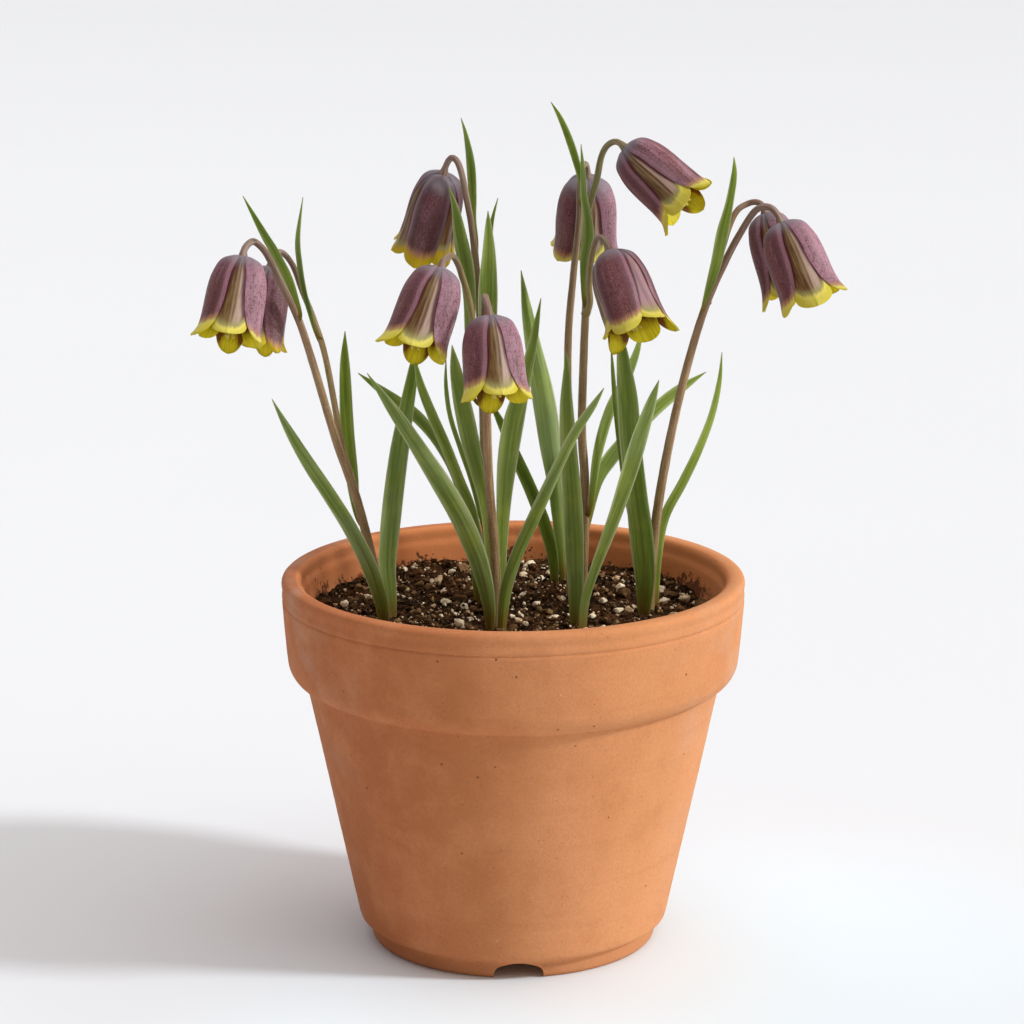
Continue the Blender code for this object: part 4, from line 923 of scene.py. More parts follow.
def build_crumbs(dark, red, pale):
    rng = np.random.default_rng(SEED)
    shapes = lump_shapes(14, rng)
    coarse_shapes = lump_shapes(10, rng, 3, 0.40)

    def items(count, lo, hi, power, flat, tones, rmax=66.0, sink=0.25):
        out = []
        for _ in range(count):
            r = rmax * math.sqrt(rng.uniform(0, 1))
            a = rng.uniform(0, 2 * math.pi)
            x, y = r * math.cos(a), r * math.sin(a)
            size = lo + (hi - lo) * rng.uniform(0, 1) ** power
            if math.hypot(x, y) + size > 67.0:
                k = (67.0 - size) / math.hypot(x, y)
                x, y = x * k, y * k
            sx = size * rng.uniform(0.8, 1.25)
            sy = size * rng.uniform(0.65, 1.05)
            sz = size * rng.uniform(*flat)
            z = rough_soil(x, y) + sz * (0.62 - sink * rng.uniform(0.4, 1.6))
            out.append((x, y, z, sx, sy, sz, rng.uniform(0, 6.28), rng.normal(0, 0.35), rng.uniform(*tones)))
        return out

    crumbs = scatter("soil_crumbs", dark, shapes, items(1900, 0.35, 1.45, 2.0, (0.6, 0.95), (0, 1)))
    clods = scatter("soil_clods", red, coarse_shapes, items(190, 1.1, 2.9, 2.0, (0.55, 0.85), (0, 1), sink=0.5))
    # bark and fibre
    fibres = []
    for x, y, z, sx, sy, sz, spin, tilt, tone in items(260, 0.5, 1.0, 1.0, (0.5, 0.9), (0, 1)):
        fibres.append((x, y, z + 0.3, sx * rng.uniform(2.5, 4.5), sy * 0.55, sz * 0.45, spin, tilt * 1.5, tone))
    bark = scatter("bark_bits", red, shapes, fibres)
    grit = items(1250, 0.22, 0.78, 2.0, (0.75, 1.0), (0.0, 1.0), sink=0.1)
    grit = [(x, y, z + 0.25, a, b, c, d, e, t) for x, y, z, a, b, c, d, e, t in grit]
    perlite = scatter("perlite_grains", pale, shapes, grit)
    stones = []
    for u, v, size, tone in PEBBLES:
        p = soil_point(u, v)
        x, y = p.x, p.y
        far = math.hypot(x, y)
        if far + size > 66.5:
            x, y = x * (66.5 - size) / far, y * (66.5 - size) / far
        stones.append((x, y, rough_soil(x, y) + size * 0.38, size * rng.uniform(0.9, 1.2), size * rng.uniform(0.75, 1.0),
                       size * rng.uniform(0.65, 0.85), rng.uniform(0, 6.28), rng.normal(0, 0.3), tone))
    for x, y, z, a, b, c, d, e, t in items(46, 0.9, 1.8, 1.5, (0.7, 0.9), (0.0, 0.8), sink=0.2):
        stones.append((x, y, z + 0.2, a, b, c, d, e, t))
    pebbles = scatter("pebbles", pale, coarse_shapes, stones)
    return crumbs, clods, bark, perlite, pebbles


# ---------------------------------------------------------------- smooth curves
def smooth_curve(points, stations, per=16):
    """Even stations along a smooth curve through points: each point is (Vector, number)."""
    n = len(points)

    def knot(i):
        return points[max(0, min(n - 1, i))]

    fine = []
    for i in range(n - 1):
        p0, p1, p2, p3 = knot(i - 1), knot(i), knot(i + 1), knot(i + 2)
        for k in range(per):
            t = k / per
            weights = (-0.5 * t + t * t - 0.5 * t ** 3, 1 - 2.5 * t * t + 1.5 * t ** 3,
                       0.5 * t + 2 * t * t - 1.5 * t ** 3, -0.5 * t * t + 0.5 * t ** 3)
            vec = sum((p[0] * w for p, w in zip((p0, p1, p2, p3), weights)), Vector((0, 0, 0)))
            num = sum(p[1] * w for p, w in zip((p0, p1, p2, p3), weights))
            fine.append((vec, num))
    fine.append((points[-1][0].copy(), points[-1][1]))
    length = [0.0]
    for a, b in zip(fine, fine[1:]):
        length.append(length[-1] + (b[0] - a[0]).length)
    out, j = [], 0
    for s in range(stations):
        want = length[-1] * s / (stations - 1)
        while j < len(length) - 2 and length[j + 1] < want:
            j += 1
        t = min(max((want - length[j]) / max(length[j + 1] - length[j], 1e-12), 0.0), 1.0)
        out.append((fine[j][0].lerp(fine[j + 1][0], t), fine[j][1] + (fine[j + 1][1] - fine[j][1]) * t))
    return out, length[-1]


def tangents(points):
    return [(points[min(len(points) - 1, i + 1)] - points[max(0, i - 1)]).normalized() for i in range(len(points))]


# ---------------------------------------------------------------- flowers
BELL = ((0.0, 0.02, 0.05, 0.10, 0.17, 0.25, 0.32, 0.40, 0.50, 0.62, 0.74, 0.85, 0.92, 1.0, 1.12),
        (0.04, 0.31, 0.46, 0.61, 0.735, 0.82, 0.87, 0.90, 0.92, 0.93, 0.94, 0.965, 0.995, 1.05, 1.12))


def bell_radius(s, length, widest):
    """Radius of the bell (mm) at a distance s (mm) under its apex."""
    return widest * smooth_table(np.clip(s / length, 0.0, 1.12), *BELL)


def flower_frame(name):
    apex_c, mouth_c, widest, turn = FLOWERS[name]
    apex, mouth = chart(*apex_c), chart(*mouth_c)
    axis = mouth - apex
    length = axis.length / MM
    axis.normalize()
    front = (EYE - apex).normalized()
    front = (front - axis * front.dot(axis)).normalized()
    side = axis.cross(front).normalized()
    return apex, axis, front, side, length, widest, math.radians(turn)


OUTER_WIDTH = ((0.0, 0.09, 0.27, 0.50, 0.71, 0.83, 0.90, 0.955, 0.985, 1.0),
               (50.0, 48.5, 43.0, 40.0, 33.5, 26.5, 20.5, 13.5, 7.5, 1.2))
BLUNT_WIDTH = ((0.0, 0.09, 0.27, 0.50, 0.71, 0.83, 0.90, 0.955, 0.985, 1.0),
               (50.0, 48.5, 44.0, 43.0, 40.0, 36.0, 31.0, 23.0, 14.0, 2.0))
INNER_WIDTH = ((0.0, 0.06, 0.18, 0.35, 0.55, 0.72, 0.80, 0.87, 0.92, 0.955, 0.98, 0.993, 1.0),
               (30.0, 32.0, 38.0, 45.0, 48.0, 44.0, 38.5, 35.0, 30.5, 24.0, 16.0, 9.5, 2.0))
ROWS, COLS = 46, 26


def petal_grid(length, widest, kind, reach, flare, curl, wide):
    """(rows, cols) arrays of distance down, radius, angle (radians) and thickness for one petal."""
    if kind:
        table = (OUTER_WIDTH[0], tuple(a + (b - a) * wide for a, b in zip(OUTER_WIDTH[1], BLUNT_WIDTH[1])))
    else:
        table = (INNER_WIDTH[0], tuple(a * (1 + wide * max(0.0, t - 0.6) / 0.4)
                                       for t, a in zip(*INNER_WIDTH)))
    x = np.linspace(0, 1, ROWS + 1)
    t = (1 - np.cos(math.pi * x)) / 2
    t = np.clip(t, 0.0008, 1.0)[:, None]
    q = np.linspace(-1, 1, COLS + 1)[None, :]
    tip = length * (1.065 if kind else 1.01) * reach
    s = tip * t * np.ones_like(q)
    half = np.radians(smooth_table(t, *table))
    r = bell_radius(s, length, widest)
    ds = 0.05
    slope = (bell_radius(s + ds, length, widest) - bell_radius(np.maximum(s - ds, 0.0), length, widest)) / (2 * ds)
    norm = np.sqrt(1 + slope ** 2)
    settle = smoothstep(t, 0.0, 0.12)
    if kind:
        off = 0.34 - 0.86 * np.abs(q) ** 2.3 + 0.07 * np.exp(-(q / 0.10) ** 2)
        off = off + 0.30 * np.exp(-((t - 0.10) / 0.07) ** 2) * (1 - q ** 2)
        off = off * (0.25 + 0.75 * settle)
    else:
        # a raised midrib with a shallow channel at each side
        off = -0.60 - 0.30 * np.abs(q) ** 1.6 + 0.22 * np.exp(-((q + 0.02) / 0.09) ** 2)
        off = off * (0.35 + 0.65 * settle)
    # mouth: lips roll outwards
    out = np.clip((t - (0.84 if kind else 0.86)) / (0.16 if kind else 0.14), 0, 1)
    off = off + (flare * out ** 1.7) + curl * out ** 2 * (1 - 0.5 * q ** 2)
    thick = (0.38 if kind else 0.42) * (1 - 0.72 * q ** 2) * (1 - 0.35 * out)
    down = s - off * slope / norm
    rad = r + off / norm
    down_in = s - (off - thick) * slope / norm
    rad_in = r + (off - thick) / norm
    ang = q * half
    # distances along the surface: to the lip, and to the edge of the outer petal
    if kind:
        rim = (1 - t) * tip * np.ones_like(q)
        gap = (half - np.abs(ang)) * r
    else:
        lo = int(np.argmax(table[1]))
        edge_t = np.interp(np.degrees(np.abs(ang)), table[1][lo:][::-1], table[0][lo:][::-1])
        rim = np.maximum(edge_t - t, 0.0) * tip
        other = np.radians(smooth_table(np.clip(s / (length * 1.065), 0, 1), *OUTER_WIDTH))
        gap = (math.radians(60) - other - np.abs(ang)) * r
    return t, q, s, down, rad, down_in, rad_in, ang, rim, gap


def build_flower(name, mat, variety):
    apex, axis, front, side, length, widest, turn = flower_frame(name)
    turn = turn + math.radians(variety.get("turn", 0.0))
    rng = np.random.default_rng(SEED + sum(ord(c) for c in name) * 7)
    verts, faces = [], []
    att = {key: [] for key in ("side", "down", "kind", "inside", "across_mm", "length_mm", "seed", "rim", "gap", "lip",
                               "painted_light")}
    axis_v, front_v, side_v = np.array(axis), np.array(front), np.array(side)
    # the front inner petal is a little longer; petals on the sunny side are painted fairer, nearly to the tip, as
    # painted light, and those on the shaded side darker, as painted shade
    usual = {0: (1.08, 0.0, 0.0, 2.6, 0.0, 0.5), 1: (1.05, 1.1, 0.1, 5.0, 0.40, 0.1), 2: (0.965, 0.0, 0.0, 3.2, 0.0, 0.3),
             3: (1.0, 0.2, 0.0, 4.0, 0.18, 0.5), 4: (1.0, 0.1, 0.0, 3.2, 0.0, 0.7), 5: (1.02, 0.1, 0.0, 2.0, 0.0, 0.9)}
    for m in range(6):
        kind = m % 2
        centre = math.radians(60.0 * m) + turn
        adjust = variety.get("petals", {}).get(m, usual[m])
        reach = adjust[0] * float(rng.uniform(0.99, 1.01))
        flare = (0.35 if kind else 0.70) + adjust[1] + float(rng.uniform(-0.12, 0.12))
        curl = (0.0 if kind else 0.30) + adjust[2]
        lean = math.radians(float(rng.uniform(-2.0, 2.0)))
        t, q, s, down, rad, down_in, rad_in, ang, rim, gap = petal_grid(length, widest, kind, reach, flare, curl, adjust[4])
        wav = float(rng.uniform(0, 6.28))
        # margins are a little wavy
        wave = 0.12 * np.sin(t * 17 + wav + q * 1.5) * np.abs(q) ** 3 * smoothstep(t, 0.2, 0.6)
        base = len(verts)
        rows, cols = s.shape
        for dn, rd, within in ((down, rad + wave, 0.0), (down_in, rad_in + wave, 1.0)):
            th = centre + lean * t + ang
            pts = (np.array(apex)[None, None, :] + axis_v * (dn * MM)[..., None]
                   + (front_v * np.cos(th)[..., None] + side_v * np.sin(th)[..., None]) * (rd * MM)[..., None])
            verts += [tuple(p) for p in pts.reshape(-1, 3)]
            one = np.ones_like(s)
            att["side"].append((q * one).ravel())
            att["down"].append((s / length).ravel())
            att["kind"].append((one * kind).ravel())
            att["inside"].append((one * within).ravel())
            att["across_mm"].append((ang * rd).ravel())
            att["length_mm"].append(s.ravel())
            att["seed"].append((one * (m * 3.7 + (len(name) + ord(name[7]) * 5 + ord(name[8])) % 31)).ravel())
            att["rim"].append(rim.ravel())
            att["gap"].append((gap * one).ravel())
            att["lip"].append((one * adjust[3]).ravel())
            att["painted_light"].append((one * adjust[5]).ravel())

        def at(layer, i, j):
            return base + layer * rows * cols + i * cols + j

        for i in range(rows - 1):
            for j in range(cols - 1):
                faces.append((at(0, i, j), at(0, i, j + 1), at(0, i + 1, j + 1), at(0, i + 1, j)))
                faces.append((at(1, i, j), at(1, i + 1, j), at(1, i + 1, j + 1), at(1, i, j + 1)))
        for i in range(rows - 1):
            for j in (0, cols - 1):
                faces.append((at(0, i, j), at(0, i + 1, j), at(1, i + 1, j), at(1, i, j)))
        for j in range(cols - 1):
            for i in (0, rows - 1):
                faces.append((at(0, i, j), at(0, i, j + 1), at(1, i, j + 1), at(1, i, j)))
    petals = add_mesh(name.replace("flower", "petals"), verts, faces, mat, 0,
                      {k: np.concatenate(v) for k, v in att.items()})
    outward(petals)
    petals.data.set_sharp_from_angle(angle=math.radians(65))
    return petals


def tube(points, radii, sides, verts, faces, extra=None):
    """Closed tube with rounded ends, appended to verts and faces; returns the number of verts added."""
    start = len(verts)
    tang = tangents(points)
    normal = Vector((0.31, -0.92, 0.2)).normalized()
    for i, (p, r) in enumerate(zip(points, radii)):
        t = tang[i]
        normal = (normal - t * normal.dot(t)).normalized()
        other = t.cross(normal)
        for k in range(sides):
            a = 2 * math.pi * k / sides
            verts.append(tuple(p + (normal * math.cos(a) + other * math.sin(a)) * r))
    n = len(points)
    for i in range(n - 1):
        for k in range(sides):
            m = (k + 1) % sides
            a, b = start + i * sides, start + (i + 1) * sides
            faces.append((a + k, a + m, b + m, b + k))
    verts.append(tuple(points[0] - tang[0] * radii[0] * 0.4))
    verts.append(tuple(points[-1] + tang[-1] * radii[-1] * 0.4))
    lo, hi = len(verts) - 2, len(verts) - 1
    for k in range(sides):
        m = (k + 1) % sides
        faces.append((start + m, start + k, lo))
        faces.append((start + (n - 1) * sides + k, start + (n - 1) * sides + m, hi))
    return len(verts) - start


def build_stamens(name, mat):
    """Six stamens round a style that ends in three short stigma lobes."""
    apex, axis, front, side, length, widest, turn = flower_frame(name)
    verts, faces, tone = [], [], []

    def at(s, r, a):
        return apex + axis * (s * MM) + (front * math.cos(a) + side * math.sin(a)) * (r * MM)

    for m in range(6):
        a = math.radians(60 * m + 17) + turn
        long = 1.0 if m % 2 else 0.94
        pts = [at(length * f * long, r, a + 0.12 * f) for f, r in ((0.05, 1.3), (0.20, 1.7), (0.40, 2.1), (0.58, 2.4), (0.66, 2.5))]
        n = tube(pts, [0.34 * MM] * 3 + [0.28 * MM, 0.24 * MM], 6, verts, faces)
        tone += [0.0] * n
        pts, radii = [], []
        for f in np.linspace(0, 1, 9):
            pts.append(at(length * (0.655 + 0.20 * f) * long, 2.5 + 0.25 * f, a + 0.10))
            radii.append((0.22 + 0.60 * math.sin(math.pi * min(max(f, 0.04), 0.97)) ** 0.6) * MM)
        n = tube(pts, radii, 8, verts, faces)
        tone += [0.85] * n
    pts = [at(length * f, 0.0, 0.0) for f in (0.05, 0.12, 0.24, 0.34, 0.40, 0.55, 0.70, 0.84, 0.89)]
    radii = [r * MM for r in (1.1, 1.45, 1.55, 1.30, 0.65, 0.52, 0.52, 0.66, 0.70)]
    tone += [0.45] * tube(pts, radii, 10, verts, faces)
    for m in range(3):
        a = math.radians(120 * m + 40) + turn
        pts = [at(length * f, r, a) for f, r in ((0.86, 0.25), (0.905, 0.6), (0.945, 0.95), (0.975, 1.25), (0.995, 1.45))]
        tone += [0.4] * tube(pts, [0.52 * MM, 0.52 * MM, 0.50 * MM, 0.46 * MM, 0.38 * MM], 8, verts, faces)
    obj = add_mesh(name.replace("flower", "stamens"), verts, faces, mat, 0, {"tone": tone})
    outward(obj)
    return obj


# ---------------------------------------------------------------- stems
STEM_PATHS = {}


def stem_path(name):
    if name in STEM_PATHS:
        return STEM_PATHS[name]
    flower, foot_r, top_r, root, marks = STEMS[name]
    points = [(chart(*m), 0.0) for m in marks]
    apex, axis = flower_frame(flower)[:2]
    if root == "soil":
        low = points[0][0] - (points[1][0] - points[0][0]).normalized() * 4.0 * MM
        points.insert(0, (low, 0.0))
    else:
        # grows out of the main stem
        main = stem_path("stem_" + name[-2])[0]
        p = points[0][0]
        near = min(range(len(main)), key=lambda i: (main[i] - p).length)
        points.insert(0, (main[max(0, near - 3)].copy(), 0.0))
    points.append((apex - axis * (2.6 * MM), 0.0))
    points.append((apex + axis * (0.7 * MM), 0.0))
    path, length = smooth_curve(points, 120)
    STEM_PATHS[name] = ([p for p, _ in path], length)
    return STEM_PATHS[name]


def build_stem(name, mat):
    flower, foot_r, top_r, root, marks = STEMS[name]
    pts, length = stem_path(name)
    sides, count = 16, len(pts)
    tang = tangents(pts)
    normal = Vector((0.2, -1, 0)).normalized()
    verts, faces = [], []
    green, along, around, run = [], [], [], []
    phase = sum(ord(c) for c in name) * 0.37
    for i, p in enumerate(pts):
        t = tang[i]
        normal = (normal - t * normal.dot(t)).normalized()
        other = t.cross(normal)
        f = i / (count - 1)
        r = foot_r + (top_r - foot_r) * f ** 0.8
        left = (1 - f) * length / MM
        r *= 1 + 0.75 * math.exp(-(left / 1.5) ** 2)          # receptacle
        if root != "soil":
            r *= 1 + 0.35 * math.exp(-(f * length / MM / 3.0) ** 2)
        r *= 1 + 0.045 * noise.noise(Vector((f * length / MM / 4.0, phase, 0.0)))
        for k in range(sides):
            a = 2 * math.pi * k / sides
            rr = r * (1 + 0.03 * math.cos(3 * a + phase + f * 4))
            verts.append(tuple(p + (normal * math.cos(a) + other * math.sin(a)) * rr * MM))
            g = STEM_GREEN.get(name, ((0.0, 0.0),))
            green.append(float(np.interp(f, [x for x, _ in g], [y for _, y in g])))
            along.append(f)
            around.append(a)
            run.append(f * length / MM)
    for i in range(count - 1):
        for k in range(sides):
            m = (k + 1) % sides
            faces.append((i * sides + k, i * sides + m, (i + 1) * sides + m, (i + 1) * sides + k))
    faces.append(tuple(range(sides - 1, -1, -1)))
    faces.append(tuple(range((count - 1) * sides, count * sides)))
    obj = add_mesh("visual_" + name, verts, faces, mat, 0,
                   {"green": green, "along": along, "around": around, "length_mm": run})
    outward(obj)
    obj.data.set_sharp_from_angle(angle=math.radians(60))
    return obj


# ---------------------------------------------------------------- leaves
def build_leaf(name, mat, tone):
    root, channel, turn, count, marks = LEAVES[name]
    points = []
    for u, v, depth, width in marks:
        p = chart(u, v, depth)
        points.append((p, width * step_at(p) / 2))
    if root == "soil":
        low = points[0][0] + (points[0][0] - points[1][0]).normalized() * 4.5 * MM
        points.insert(0, (low, points[0][1] * 0.75))
    else:
        # joins the nearest stem a little lower down
        p = points[0][0]
        best = None
        for stem in STEMS:
            path, _ = stem_path(stem)
            for i, s in enumerate(path):
                d = (s - p).length
                if best is None or d < best[0]:
                    best = (d, path, i)
        path, i = best[1], best[2]
        back = i
        while back > 0 and (path[back] - path[i]).length < 3.5 * MM:
            back -= 1
        points.insert(0, (path[back].copy(), 1.0 * MM))
    tip_free = points[-1]
    points[-1] = (tip_free[0], 0.00012)
    stations, across = 72, 14
    path, length = smooth_curve(points, stations)
    length_mm = length / MM
    tang = tangents([p[0] for p in path])
    turn = math.radians(turn)
    phase = sum(ord(c) * (i + 1) for i, c in enumerate(name)) * 0.61
    verts, faces = [], []
    att = {key: [] for key in ("side", "along", "across_mm", "length_mm", "tone")}
    ring = 2 * across
    for i, (centre, half) in enumerate(path):
        f = i / (stations - 1)
        half = max(half, 0.00012)
        t = tang[i]
        view = (centre - EYE).normalized()
        a_dir = t.cross(view).normalized()
        n_dir = a_dir.cross(t).normalized()
        if n_dir.dot(view) < 0:
            n_dir = -n_dir
        bend = turn + 0.05 * math.sin(f * 7 + phase)
        a_dir, n_dir = a_dir * math.cos(bend) + n_dir * math.sin(bend), n_dir * math.cos(bend) - a_dir * math.sin(bend)
        half = half / math.cos(turn)
        thick = min(0.42, 0.30 * half / MM + 0.10) * MM
        fold = channel * (1.0 + 0.25 * math.sin(f * 5 + phase * 1.7))
        for k in range(ring):
            if k <= across:
                q, face = -1 + 2 * k / across, -1
            else:
                q, face = 1 - 2 * (k - across) / across, 1
            lift = -fold * half * abs(q) ** 1.4 + fold * half * 0.4
            lift += 0.035 * half * math.sin(f * 21 + phase + (2.0 if q > 0 else 0.0)) * abs(q) ** 3
            body = thick * (1 - 0.80 * abs(q) ** 1.5) * face
            if k in (0, across):
                body = 0.0
            # the keel stands out under the blade
            if face > 0:
                body += 0.14 * MM * math.exp(-(q / 0.14) ** 2) * min(1.0, half / (2 * MM))
            verts.append(tuple(centre + a_dir * (q * half) + n_dir * (lift + body)))
            att["side"].append(q)
            att["along"].append(f)
            att["across_mm"].append(q * half / MM)
            att["length_mm"].append(f * length_mm + phase * 10)
            att["tone"].append(tone)
    for i in range(stations - 1):
        for k in range(ring):
            m = (k + 1) % ring
            faces.append((i * ring + k, i * ring + m, (i + 1) * ring + m, (i + 1) * ring + k))
    faces.append(tuple(range(ring - 1, -1, -1)))
    faces.append(tuple(range((stations - 1) * ring, stations * ring)))
    obj = add_mesh("visual_" + name, verts, faces, mat, 0, att)
    outward(obj)
    obj.data.set_sharp_from_angle(angle=math.radians(75))
    return obj


# where each stem is green rather than brown: (share of its length, amount)
STEM_GREEN = {
    "stem_a": ((0.0, 0.35), (0.10, 0.10), (0.5, 0.0), (1.0, 0.0)),
    "stalk_a2": ((0.0, 0.2), (0.5, 0.25), (1.0, 0.0)),
    "stem_b": ((0.0, 0.15), (0.5, 0.0), (1.0, 0.0)),
    "stem_c": ((0.0, 0.3), (0.5, 0.2), (1.0, 0.0)),
    "stalk_c2": ((0.0, 0.6), (0.5, 0.45), (1.0, 0.05)),
    "stem_d": ((0.0, 0.2), (0.4, 0.1), (1.0, 0.15)),
    "stem_g": ((0.0, 0.1), (0.55, 0.1), (0.70, 0.6), (0.85, 0.75), (1.0, 0.35)),
    "stalk_g2": ((0.0, 0.4), (0.5, 0.3), (1.0, 0.1)),
    "stem_h": ((0.0, 0.3), (0.2, 0.1), (0.6, 0.0), (1.0, 0.0)),
    "stalk_h2": ((0.0, 0.1), (1.0, 0.0)),
}

# leaf tone: 0 blue-green with bloom, 1 fresh green
LEAF_TONE = {
    "leaf_a1": 0.15, "leaf_a2": 0.45, "leaf_a3": 0.75, "leaf_a4": 0.35, "leaf_a5": 0.85,
    "leaf_b1": 0.20, "leaf_b2": 0.45, "leaf_b3": 0.70, "leaf_b4": 0.50, "leaf_b5": 0.55, "leaf_b6": 0.45,
    "leaf_b7": 0.60, "leaf_c1": 0.60, "leaf_c2": 0.65, "leaf_c3": 0.55, "leaf_c4": 0.50, "leaf_d1": 0.70,
    "leaf_e1": 0.55, "leaf_e2": 0.25, "leaf_f1": 0.25, "leaf_f2": 0.40, "leaf_g1": 0.60, "leaf_g2": 0.65,
    "leaf_g3": 0.30, "leaf_h1": 0.80, "leaf_h2": 0.65, "leaf_h3": 0.45, "leaf_h4": 0.80,
}

# per flower: turn (degrees) and, for single petals, (reach factor, extra flare mm, extra curl mm, yellow mm,
# extra width near the tip, painted light: 0 painted shade .. 1 painted light)
FLOWER_SHAPE = {
    "flower_a1": {"turn": 3},
    "flower_a2": {},
    "flower_b1": {"turn": -9},
    "flower_c1": {"turn": 8, "petals": {5: (1.05, 0.3, 0.0, 4.0, 1.0, 0.3), 4: (1.06, 0.3, 0.0, 5.5, 0.0, 0.5)}},
    "flower_c2": {"turn": 12},
    "flower_d1": {"turn": -65, "petals": {0: (0.98, 0.0, 0.0, 2.4, 0.0, 0.5), 1: (0.945, 0.3, 0.0, 1.7, 0.9, 0.0)}},
    "flower_g1": {"turn": 6, "petals": {0: (1.08, 0.2, 0.0, 4.6, 0.0, 0.3), 5: (1.04, 0.4, 0.0, 2.8, 0.1, 0.45)}},
    "flower_g2": {"turn": 62, "petals": {5: (1.03, 0.3, 0.0, 3.8, 0.9, 0.12), 4: (1.02, 0.2, 0.0, 2.8, 0.0, 1.0),
                                         3: (1.07, 0.8, 0.0, 3.4, 0.1, 0.3), 0: (1.0, 0.2, 0.0, 4.6, 0.0, 0.3),
                                  2: (1.05, 0.6, 0.1, 3.5, 0.0, 0.3)}},
    "flower_h1": {"turn": -13, "petals": {0: (1.22, 0.1, 0.0, 4.4, 0.0, 0.5), 1: (1.10, 0.6, 0.0, 3.4, 0.1, 0.15),
                                          2: (0.94, 0.0, 0.0, 3.2, 0.0, 0.3), 3: (0.92, 0.0, 0.0, 4.0, 0.0, 0.5),
                                          4: (0.96, 0.0, 0.0, 3.2, 0.0, 0.7), 5: (1.05, 0.8, 0.0, 1.6, 0.0, 1.0)}},
    "flower_h2": {"petals": {1: (1.08, 0.4, 0.0, 3.0, 0.0, 0.2)}},
}

# ---------------------------------------------------------------- put together
clay = clay_look()
place(build_pot(clay), "clay", "pot")

earth = soil_look("soil_dark", (0.009, 0.004, 0.0015), (0.054, 0.023, 0.008), (0.340, 0.190, 0.080), (0.085, 0.032, 0.010))
clod_earth = soil_look("soil_clods", (0.013, 0.006, 0.002), (0.074, 0.031, 0.011), (0.360, 0.205, 0.090), (0.110, 0.043, 0.014))
grains = grain_look()
place(build_soil(earth), "soil", "soil")
for piece in build_crumbs(earth, clod_earth, grains):
    place(piece, "soil")

PLUM = {
    "plum": ((0.178, 0.064, 0.064), (0.385, 0.202, 0.240), (0.118, 0.056, 0.014), (0.420, 0.290, 0.225),
             (0.650, 0.550, 0.095), (0.066, 0.010, 0.012)),
    "dark": ((0.115, 0.045, 0.042), (0.200, 0.095, 0.100), (0.120, 0.050, 0.014), (0.210, 0.120, 0.070),
             (0.520, 0.330, 0.008), (0.048, 0.010, 0.008)),
}
petal_mats = {key: petal_look("petals_" + key, *tones) for key, tones in PLUM.items()}
stamen_mat = stamen_look()
for flower in FLOWERS:
    kind = "dark" if flower in ("flower_c1", "flower_a2") else "plum"
    place(build_flower(flower, petal_mats[kind], FLOWER_SHAPE[flower]), "petal", flower)
    place(build_stamens(flower, stamen_mat), "petal")

stem_mat = stem_look()
for stem in STEMS:
    place(build_stem(stem, stem_mat), "stem", stem)
leaf_mat = leaf_look()
for leaf in LEAVES:
    place(build_leaf(leaf, leaf_mat, LEAF_TONE[leaf]), "leaf", leaf)

# ---------------------------------------------------------------- studio
bpy.ops.mesh.primitive_plane_add(size=24.0, location=(0, FLOOR_Y, 0))
floor = bpy.context.object
floor.name = "studio_floor"
floor.data.materials.append(floor_look())

sun = bpy.data.lights.new("key", "SUN")
sun.energy = 2.22
sun.angle = math.radians(7.5)
sun.color = (0.94, 1.0, 1.05)
key = bpy.data.objects.new("key", sun)
bpy.context.scene.collection.objects.link(key)
AZ, EL = math.radians(13.0), math.radians(33.0)
towards = Vector((math.cos(AZ) * math.cos(EL), -math.sin(AZ) * math.cos(EL), math.sin(EL)))
key.rotation_euler = (-towards).to_track_quat("-Z", "Y").to_euler()

world = bpy.data.worlds.new("studio")
bpy.context.scene.world = world
world.use_nodes = True
wt = world.node_tree
bg = wt.nodes["Background"]
tc = wt.nodes.new("ShaderNodeTexCoord")
# a soft overhead source leaning to the right, over a pale horizon band
aim = Vector((0.45, 0.0, 0.90)).normalized()
dot = wt.nodes.new("ShaderNodeVectorMath")
dot.operation = "DOT_PRODUCT"
wt.links.new(tc.outputs["Generated"], dot.inputs[0])
dot.inputs[1].default_value = aim
cap = wt.nodes.new("ShaderNodeMapRange")
cap.interpolation_type = "SMOOTHSTEP"
for socket, value in zip(cap.inputs[1:5], (0.60, 0.80, 0.0, 1.0)):
    socket.default_value = value
wt.links.new(dot.outputs["Value"], cap.inputs[0])
sep = wt.nodes.new("ShaderNodeSeparateXYZ")
wt.links.new(tc.outputs["Generated"], sep.inputs[0])
ramp = wt.nodes.new("ShaderNodeValToRGB")
wt.links.new(sep.outputs[2], ramp.inputs[0])
ramp.color_ramp.elements[0].position = 0.0
ramp.color_ramp.elements[0].color = (0.80, 0.80, 0.81, 1)
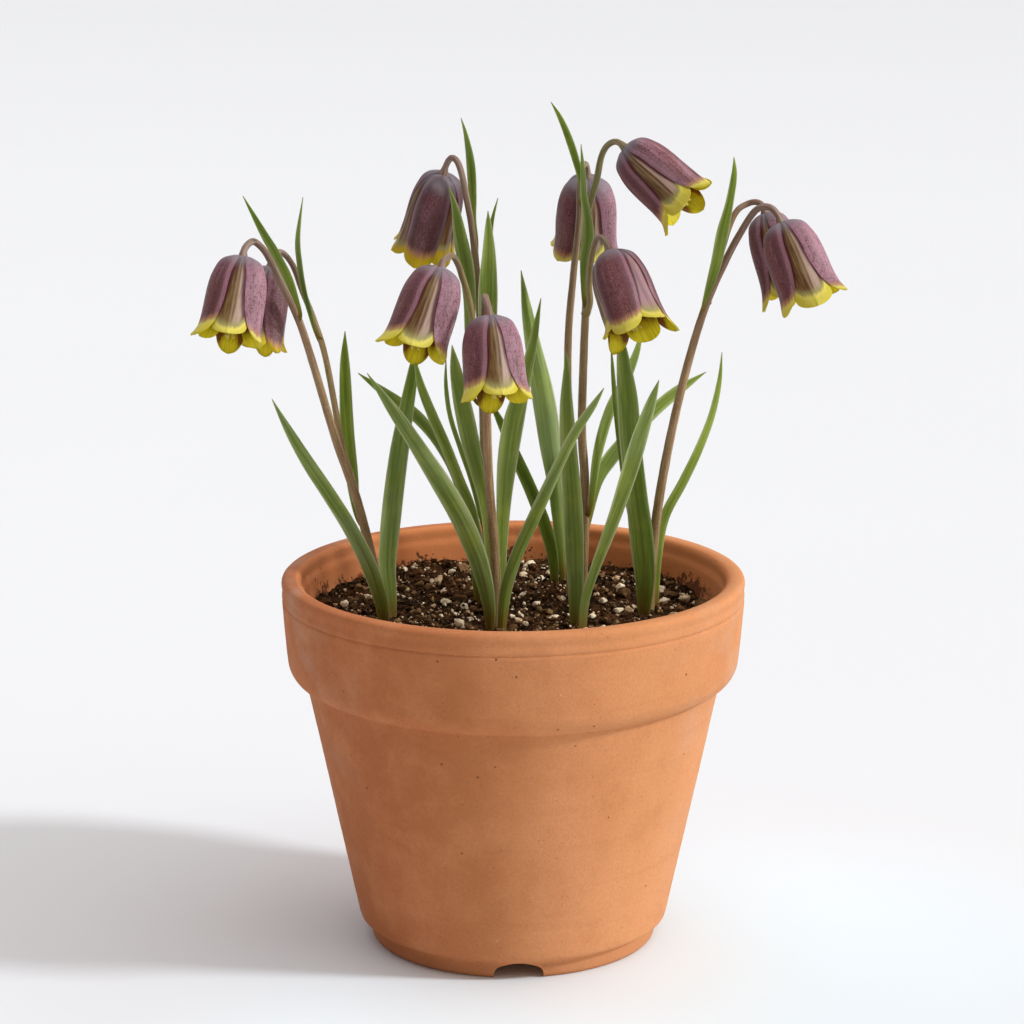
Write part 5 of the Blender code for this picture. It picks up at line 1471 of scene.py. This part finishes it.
ramp.color_ramp.elements[1].position = 0.24
ramp.color_ramp.elements[1].color = (0.140, 0.133, 0.130, 1)
near = ramp.color_ramp.elements.new(0.12)
near.color = (0.78, 0.78, 0.79, 1)
# a second, smaller one behind and to the left
dot2 = wt.nodes.new("ShaderNodeVectorMath")
dot2.operation = "DOT_PRODUCT"
wt.links.new(tc.outputs["Generated"], dot2.inputs[0])
dot2.inputs[1].default_value = Vector((-0.45, 0.55, 0.70)).normalized()
cap2 = wt.nodes.new("ShaderNodeMapRange")
cap2.interpolation_type = "SMOOTHSTEP"
for socket, value in zip(cap2.inputs[1:5], (0.74, 0.92, 0.0, 1.0)):
    socket.default_value = value
wt.links.new(dot2.outputs["Value"], cap2.inputs[0])
blend2 = wt.nodes.new("ShaderNodeMix")
blend2.data_type = "RGBA"
wt.links.new(cap2.outputs[0], blend2.inputs[0])
wt.links.new(ramp.outputs[0], blend2.inputs[6])
blend2.inputs[7].default_value = (0.98, 1.00, 1.07, 1)
blend = wt.nodes.new("ShaderNodeMix")
blend.data_type = "RGBA"
wt.links.new(cap.outputs[0], blend.inputs[0])
wt.links.new(blend2.outputs[2], blend.inputs[6])
blend.inputs[7].default_value = (1.40, 1.335, 1.31, 1)
wt.links.new(blend.outputs[2], bg.inputs["Color"])
bg.inputs["Strength"].default_value = 1.0

cam_data = bpy.data.cameras.new("photo_view")
cam = bpy.data.objects.new("photo_view", cam_data)
bpy.context.scene.collection.objects.link(cam)
cam.location = (POT_AXIS_X, -VIEW_DIST, VIEW_HEIGHT)
cam.rotation_euler = (math.radians(90) - VIEW_DIP, 0, 0)
cam_data.sensor_width = 36.0
cam_data.lens = VIEW_SCALE / 1024 * 36
cam_data.shift_x = (512 - VIEW_U0) / 1024
cam_data.clip_start, cam_data.clip_end = 0.05, 60.0
bpy.context.scene.camera = cam

bpy.context.scene.view_settings.view_transform = "Standard"
bpy.context.scene.view_settings.look = "None"
bpy.context.scene.view_settings.exposure = 0.0
bpy.context.scene.view_settings.gamma = 1.0
